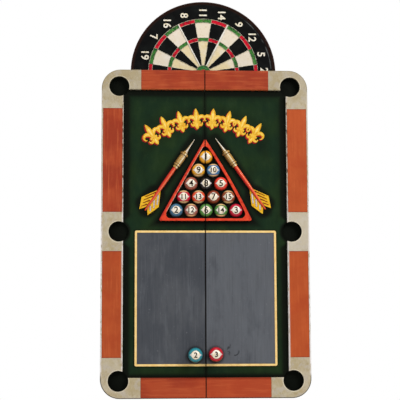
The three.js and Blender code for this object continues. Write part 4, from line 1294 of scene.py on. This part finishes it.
# ---------------------------------------------------------------- darts in relief


def brass_outline():
    """The dart's barrel of swelling rings, between its two collars."""
    pitch = (BARREL_END - BARREL_START) / BARREL_RINGS
    points = list(FRONT_COLLAR)
    for i in range(BARREL_RINGS):
        low = BARREL_START + pitch * i
        swell = BARREL_RADIUS + 0.5 * math.sin(math.pi * (i + 0.5) / BARREL_RINGS)
        groove = swell - 0.35
        points += [(groove, low), (swell, low + 0.5), (swell, low + pitch - 0.7), (groove, low + pitch - 0.2)]
    return points + list(REAR_COLLAR + SOCKET)


def dart(name, sign):
    """Needle, barrel between two collars, and a red shaft that runs out over a pair of vanes."""
    point, towards = dart_line(name, sign)
    bm = bmesh.new()
    lathe(NEEDLE, point, towards, 24, bm, DART_SLOTS["needle"])
    lathe(brass_outline(), point, towards, 32, bm, DART_SLOTS["brass"])
    lathe(SHAFT, point, towards, 24, bm, DART_SLOTS["shaft"])
    vanes(sign, DART_LIFT[name], bm)
    cut_off(bm, (0, FACING_BACK, 0), (0, 1, 0))
    needle_tones = ("a88a56", "66491f", "c0a877", "f3ecdf")
    brass_tones = ("b98f49", "6b491d", "cda562", "f1e2be")
    shaft_tones = ("e04a2c", "b01d26", "ea5a34", {"left": "f0a07c", "right": "f4714a"}[name])
    brass_light = {"left": 4.0, "right": 1.0}[name]
    shaft_light, shaft_light_width = {"left": (2.2, 1.3), "right": (2.0, 3.4)}[name]
    # width, where the light falls and how wide it is, and how much of a clear coat
    paints = [
        turned_paint("needle", name, sign, needle_tones, 5.0, 1.3, 3.2, 0.6),
        turned_paint("brass", name, sign, brass_tones, 19.0, brass_light, 3.4, 0.8, BRASS_GROOVES),
        turned_paint("shaft", name, sign, shaft_tones, 8.0, shaft_light, shaft_light_width, 0.2),
        flight_yellow,
        flight_brown,
        flight_pale,
    ]
    finished(f"{name}_dart", bm, paints, f"{name}_door")


def vanes(sign, lift, bm):
    """Two flat vanes beside the tail of the shaft: brown barbs on the outer one, edged pale ones within.
    Each layer of barbs: paint, width at the root, width at the tip, how much shorter it is, and its rise."""
    front = FACING_BACK - VANE_THICKNESS
    outer_barbs = (("brown", 3.0, 1.8, 0.0, 0.28),)
    inner_barbs = (("brown", 5.4, 4.4, 0.0, 0.2), ("pale", 4.0, 3.2, 0.5, 0.3))
    for outline, layers, count in ((OUTER_VANE, outer_barbs, 4), (INNER_VANE, inner_barbs, 3)):
        start, outer, far, notch = (on_dart(*spot) + Vector((0, 0, lift)) for spot in outline)
        corners = [(sign * p.x, p.z) for p in (start, outer, far, notch)]
        plate([corners], FACING_BACK, front, bm, DART_SLOTS["yellow"])
        for paint, wide, narrow, trim, rise in layers:
            for i in range(count):
                share = (i + 0.55) / (count + 0.35)
                root = start.lerp(notch, share)
                tip = root + (outer - start) * 0.68
                limit = root.lerp(outer.lerp(far, share), 0.78)
                if (tip - root).length > (limit - root).length:
                    tip = limit
                run = (tip - root).normalized()
                root, tip = root + run * (2.5 + trim), tip - run * trim
                across = Vector((run.z, 0, -run.x))
                barb = (root - across * wide / 2, tip - across * narrow / 2)
                barb += (tip + across * narrow / 2, root + across * wide / 2)
                plate([[(sign * p.x, p.z) for p in barb]], front + 0.2, front - rise, bm, DART_SLOTS[paint])


# ---------------------------------------------------------------- knobs


def knob(name, sign, number, base, rise):
    """A turned, lacquered ball knob, numbered like a ball. The profile starts with the neck's foot."""
    node = f"{name}_knob"
    back = corner(node, 1).y
    ball_y = corner(node, 0).y + KNOB_RADIUS
    centre = Vector((sign * KNOB_CENTRE.x + KNOBS_OFF_TRUE, ball_y, KNOB_CENTRE.z + rise))
    paint = round_paint(f"{node}_paint", base, centre, KNOB_RADIUS, striped=False, gloss=0.8)
    neck_radius = 6.6
    profile = [(0, 0), (8.6, 0), (8.6, 1.2), (7.8, 2.4), (neck_radius, 3.2), (6.4, 4.5)]
    reach = back - ball_y
    neck = math.asin(neck_radius / KNOB_RADIUS)
    steps = 28
    for i in range(steps):
        turn = neck + (math.pi - neck) * i / steps
        profile.append((KNOB_RADIUS * math.sin(turn), reach - KNOB_RADIUS * math.cos(turn)))
    profile.append((0, reach + KNOB_RADIUS))
    bm = lathe(profile, (centre.x, back, centre.z), (0, -1, 0), 64)

    def surface(spot):
        off = (spot.x - centre.x) ** 2 + (spot.z - centre.z) ** 2
        return ball_y - math.sqrt(max(0.01, KNOB_RADIUS**2 - off))

    figure(str(number), 13.4, centre, (0, 0, 1), 1.1, 0.3, bm, surface, slot_index=1)
    finished(node, bm, [paint, figure_black], f"{name}_door")


# ---------------------------------------------------------------- ornament in the arch over the rack


def on_arch(along, rise):
    """A point at an arc length from the seam and a height from the middle of the band."""
    turn = along / BAND_RADIUS
    reach = BAND_RADIUS + rise
    return Vector((reach * math.sin(turn), 0, BAND_CENTRE_Z + reach * math.cos(turn)))


def ribbon(points, widths, base, top, bm):
    """A carved stroke with sloping sides and a slightly crowned top."""
    section = ((1.0, base), (0.82, top + 0.25), (0.0, top), (-0.82, top + 0.25), (-1.0, base))
    last = len(points) - 1
    rows = []
    for i, point in enumerate(points):
        tangent = (points[min(last, i + 1)] - points[max(0, i - 1)]).normalized()
        across = Vector((tangent.z, 0, -tangent.x)) * widths[i] / 2
        spots = [(point + across * share, depth) for share, depth in section]
        rows.append(new_points(bm, [Vector((spot.x, depth, spot.z)) for spot, depth in spots]))
    face_outwards(bm, skin(bm, rows) + [bm.faces.new(rows[0]), bm.faces.new(rows[-1])])


def straight_stroke(start, end, widest, ends, steps=14):
    """A pointed stroke between two (along, rise) places on the band."""
    shares = [i / steps for i in range(steps + 1)]
    path = [start] + between(start, end, steps) + [end]
    return path, [ends + (widest - ends) * math.sin(math.pi * s) ** 0.8 for s in shares]


def curled_stroke(start, heading, bend, length, widest, steps=30):
    """A stroke that sets off at a heading (degrees from upright) and curls ever tighter to a round end."""
    path = [start]
    for i in range(steps):
        turn = math.radians(heading + bend * ((i + 0.5) / steps) ** 1.6)
        along, rise = path[-1]
        path.append((along + math.sin(turn) * length / steps, rise + math.cos(turn) * length / steps))
    shares = [min(1.0, 1.15 * i / steps) for i in range(steps + 1)]
    return path, [max(3.4, 3.2 + (widest - 3.2) * math.sin(math.pi * s**0.9)) for s in shares]


def lily(middle, size):
    """A carved lily: three petals over a band, and a foot between two lower curls."""
    strokes = [
        straight_stroke((middle, -9 * size), (middle, 28 * size), 14.0, 1.4),
        straight_stroke((middle, -9 * size), (middle, -27 * size), 12.0, 1.4),
        straight_stroke((middle - 10.5, -8 * size), (middle + 10.5, -8 * size), 7.5, 6.0),
    ]
    for side in (-1, 1):
        petal_foot = (middle + side * 3.5, -7 * size)
        curl_foot = (middle + side * 3.0, -10 * size)
        strokes.append(curled_stroke(petal_foot, side * 4, side * 250, 38 * size, 10.5))
        strokes.append(curled_stroke(curl_foot, side * 152, -side * 185, 19 * size, 8.0))
    return strokes


def ornament(name, sign):
    """An arch of lilies in raised gold in place of lettering, on black painted shade, with a crimson edge
    shifted to the lower left as a painted drop shadow and a pale painted highlight along each stroke. Each
    layer: its name and paint, how much wider it is, how far it is shifted in X and Z, and where its top is
    from the field."""
    strokes = []
    for i in range(4):
        strokes += lily(ORNAMENT_PITCH[name] * (i + 0.5) + 1.0, 1.0 + 0.04 * i)
    layers = (
        ("shade", shade_black, 4.0, -1.6, -1.7, -0.15),
        # a crimson edge shifted to the lower left: a painted drop shadow
        ("edge", ornament_crimson, 0.9, -2.1, -2.1, -0.7),
        ("gold", ornament_gold, 0.0, 0.0, 0.0, -1.3),
        # a pale painted highlight along the crown of each stroke
        ("glow", ornament_highlight, -7.5, 0.0, 0.0, -1.62),
    )
    for layer, paint, wider, shift_x, shift_z, rise in layers:
        bm = bmesh.new()
        for path, widths in strokes:
            points = [on_arch(along, height) for along, height in path]
            placed = [Vector((sign * p.x + shift_x, 0, p.z + shift_z)) for p in points]
            ribbon(placed, [max(0.6, w + wider) for w in widths], FIELD_FACE + 0.1, FIELD_FACE + rise, bm)
        piece(f"{name}_ornament_{layer}", bm, [paint], f"{name}_door")


# ---------------------------------------------------------------- hinges and dart holders


def hinge(name, sign):
    """Rolled knuckles in turn on one pin, and two leaves with countersunk screws."""
    pin = f"{name}_hinge_pin"
    low, high = corner(pin, 0), corner(pin, 1)
    axis = (low + high) / 2
    length = high.z - low.z
    hinge_leaf(f"{name}_case_hinge_leaf", "cabinet", sign, 1, axis, length, 0)
    hinge_leaf(f"{name}_door_hinge_leaf", f"{name}_door", sign, -1, axis, length, 1)
    rod = ((0, 0), (1.0, 0), (1.2, 0.2), (1.2, length - 0.2), (1.0, length), (0, length))
    finished(pin, lathe(rod, (axis.x, axis.y, low.z), (0, 0, 1), 20), [brass], "cabinet")


def hinge_leaf(node, body, sign, side, axis, length, first):
    """One leaf with every second knuckle, from the first (0) or the second (1). It lies on one side of the
    axis: 1 behind it, -1 in front."""
    middle = axis.y + side * 0.75
    back, front = middle + 0.45, middle - 0.45
    radius, bore, blunt, play = 3.2, 1.6, 0.2, 0.3
    pitch = length / HINGE_KNUCKLES
    size = pitch - 2 * play
    foot = axis.z - length / 2
    top = axis.z + length / 2

    def inboard(reach):
        return axis.x - sign * reach

    near, far, cut = 4, 18, 2
    outline = [(inboard(near), foot), (inboard(far - cut), foot), (inboard(far), foot + cut)]
    outline += [(inboard(far), top - cut), (inboard(far - cut), top), (inboard(near), top)]
    bm = plate([outline], back, front)
    knuckle = ((bore, 0), (radius - blunt, 0), (radius, blunt))
    knuckle += ((radius, size - blunt), (radius - blunt, size), (bore, size), (bore, 0))
    for i in range(first, HINGE_KNUCKLES, 2):
        bottom = foot + i * pitch + play
        lathe(knuckle, (axis.x, axis.y, bottom), (0, 0, 1), 28, bm)
        plate([oblong(inboard(2.4), inboard(near + 0.3), bottom, bottom + size)], back, front, bm)
    face = front if side > 0 else back
    screw_head = ((0, 0), (2.6, 0), (2.2, 0.12), (0, 0.14))
    for i in range(1, HINGE_KNUCKLES, 2):
        lathe(screw_head, (inboard((near + far) / 2), face, foot + i * pitch), (0, -side, 0), 20, bm)
    finished(node, bm, [brass], body)


# ---------------------------------------------------------------- light, floor and camera


def studio():
    """Soft daylight all round, a large key to the right, and a pale floor well below the cabinet."""
    world = bpy.data.worlds.new("studio")
    bpy.context.scene.world = world
    world.use_nodes = True
    tree = world.node_tree
    tree.nodes.clear()

    def sky(colour, strength):
        node = tree.nodes.new("ShaderNodeBackground")
        node.inputs["Color"].default_value = colour
        node.inputs["Strength"].default_value = strength
        return node.outputs[0]

    path = tree.nodes.new("ShaderNodeLightPath")
    choose = tree.nodes.new("ShaderNodeMixShader")
    output = tree.nodes.new("ShaderNodeOutputWorld")
    tree.links.new(path.outputs["Is Camera Ray"], choose.inputs[0])
    tree.links.new(sky((1.0, 0.985, 0.96, 1), 0.3), choose.inputs[1])
    tree.links.new(sky((1, 1, 1, 1), 1.0), choose.inputs[2])
    tree.links.new(choose.outputs[0], output.inputs[0])

    lamps = (
        ("key_light", (1.9, -2.4, 1.7), 1.6, 62),
        ("fill_light", (-2.2, -2.2, 0.5), 2.0, 24),
        ("top_light", (0.0, -0.8, 2.6), 1.6, 22),
        ("back_light", (0.6, 2.4, 1.4), 1.8, 30),
    )
    for name, place, size, power in lamps:
        light = bpy.data.lights.new(name, "AREA")
        light.shape = "DISK"
        light.size = size
        light.energy = power
        lamp = bpy.data.objects.new(name, light)
        lamp.location = place
        lamp.rotation_euler = (-Vector(place)).to_track_quat("-Z", "Y").to_euler()
        bpy.context.scene.collection.objects.link(lamp)

    n = Nodes("floor_paint")
    n.colour = n.mix(n.noise(60, 3, 0.5), "e9e8e5", "f1f0ee")
    disc = ((0, 0), (FLOOR_RADIUS, 0), (FLOOR_RADIUS, 12), (0, 12))
    floor = add_object("floor", lathe(disc, (0, 0, FLOOR_Z), (0, 0, -1), 96), [n.finish(0.8)])


def camera():
    """Three metres off, a little below the middle and to the left, looking up at the doors."""
    lens_data = bpy.data.cameras.new("camera")
    lens_data.sensor_width = 36
    lens_data.lens = 105.95
    viewer = bpy.data.objects.new("camera", lens_data)
    place = Vector((-161.6, -3097.0, -290.6)) * MM
    turn = Matrix.Rotation(math.radians(-2.82), 4, "Z")
    tilt = Matrix.Rotation(math.radians(7.06), 4, "X")
    roll = Matrix.Rotation(math.radians(0.21), 4, "Y")
    upright = Matrix.Rotation(math.radians(90), 4, "X")
    viewer.matrix_world = Matrix.Translation(place) @ turn @ tilt @ roll @ upright
    bpy.context.scene.collection.objects.link(viewer)
    bpy.context.scene.camera = viewer
    bpy.context.scene.view_settings.view_transform = "Standard"


# ---------------------------------------------------------------- build

camera()
studio()
case()
crest()
dartboard()
for side_name, side_sign in SIDES:
    door(side_name, side_sign)
    rack(side_name, side_sign)
    dart(side_name, side_sign)
    ornament(side_name, side_sign)
    hinge(side_name, side_sign)
    softened(f"{side_name}_dart_holder", holder_wood, f"{side_name}_door", 1.2)
balls()
knob("left", -1, 2, "24808c", 0.0)
knob("right", 1, 3, "b50f24", 1.6)
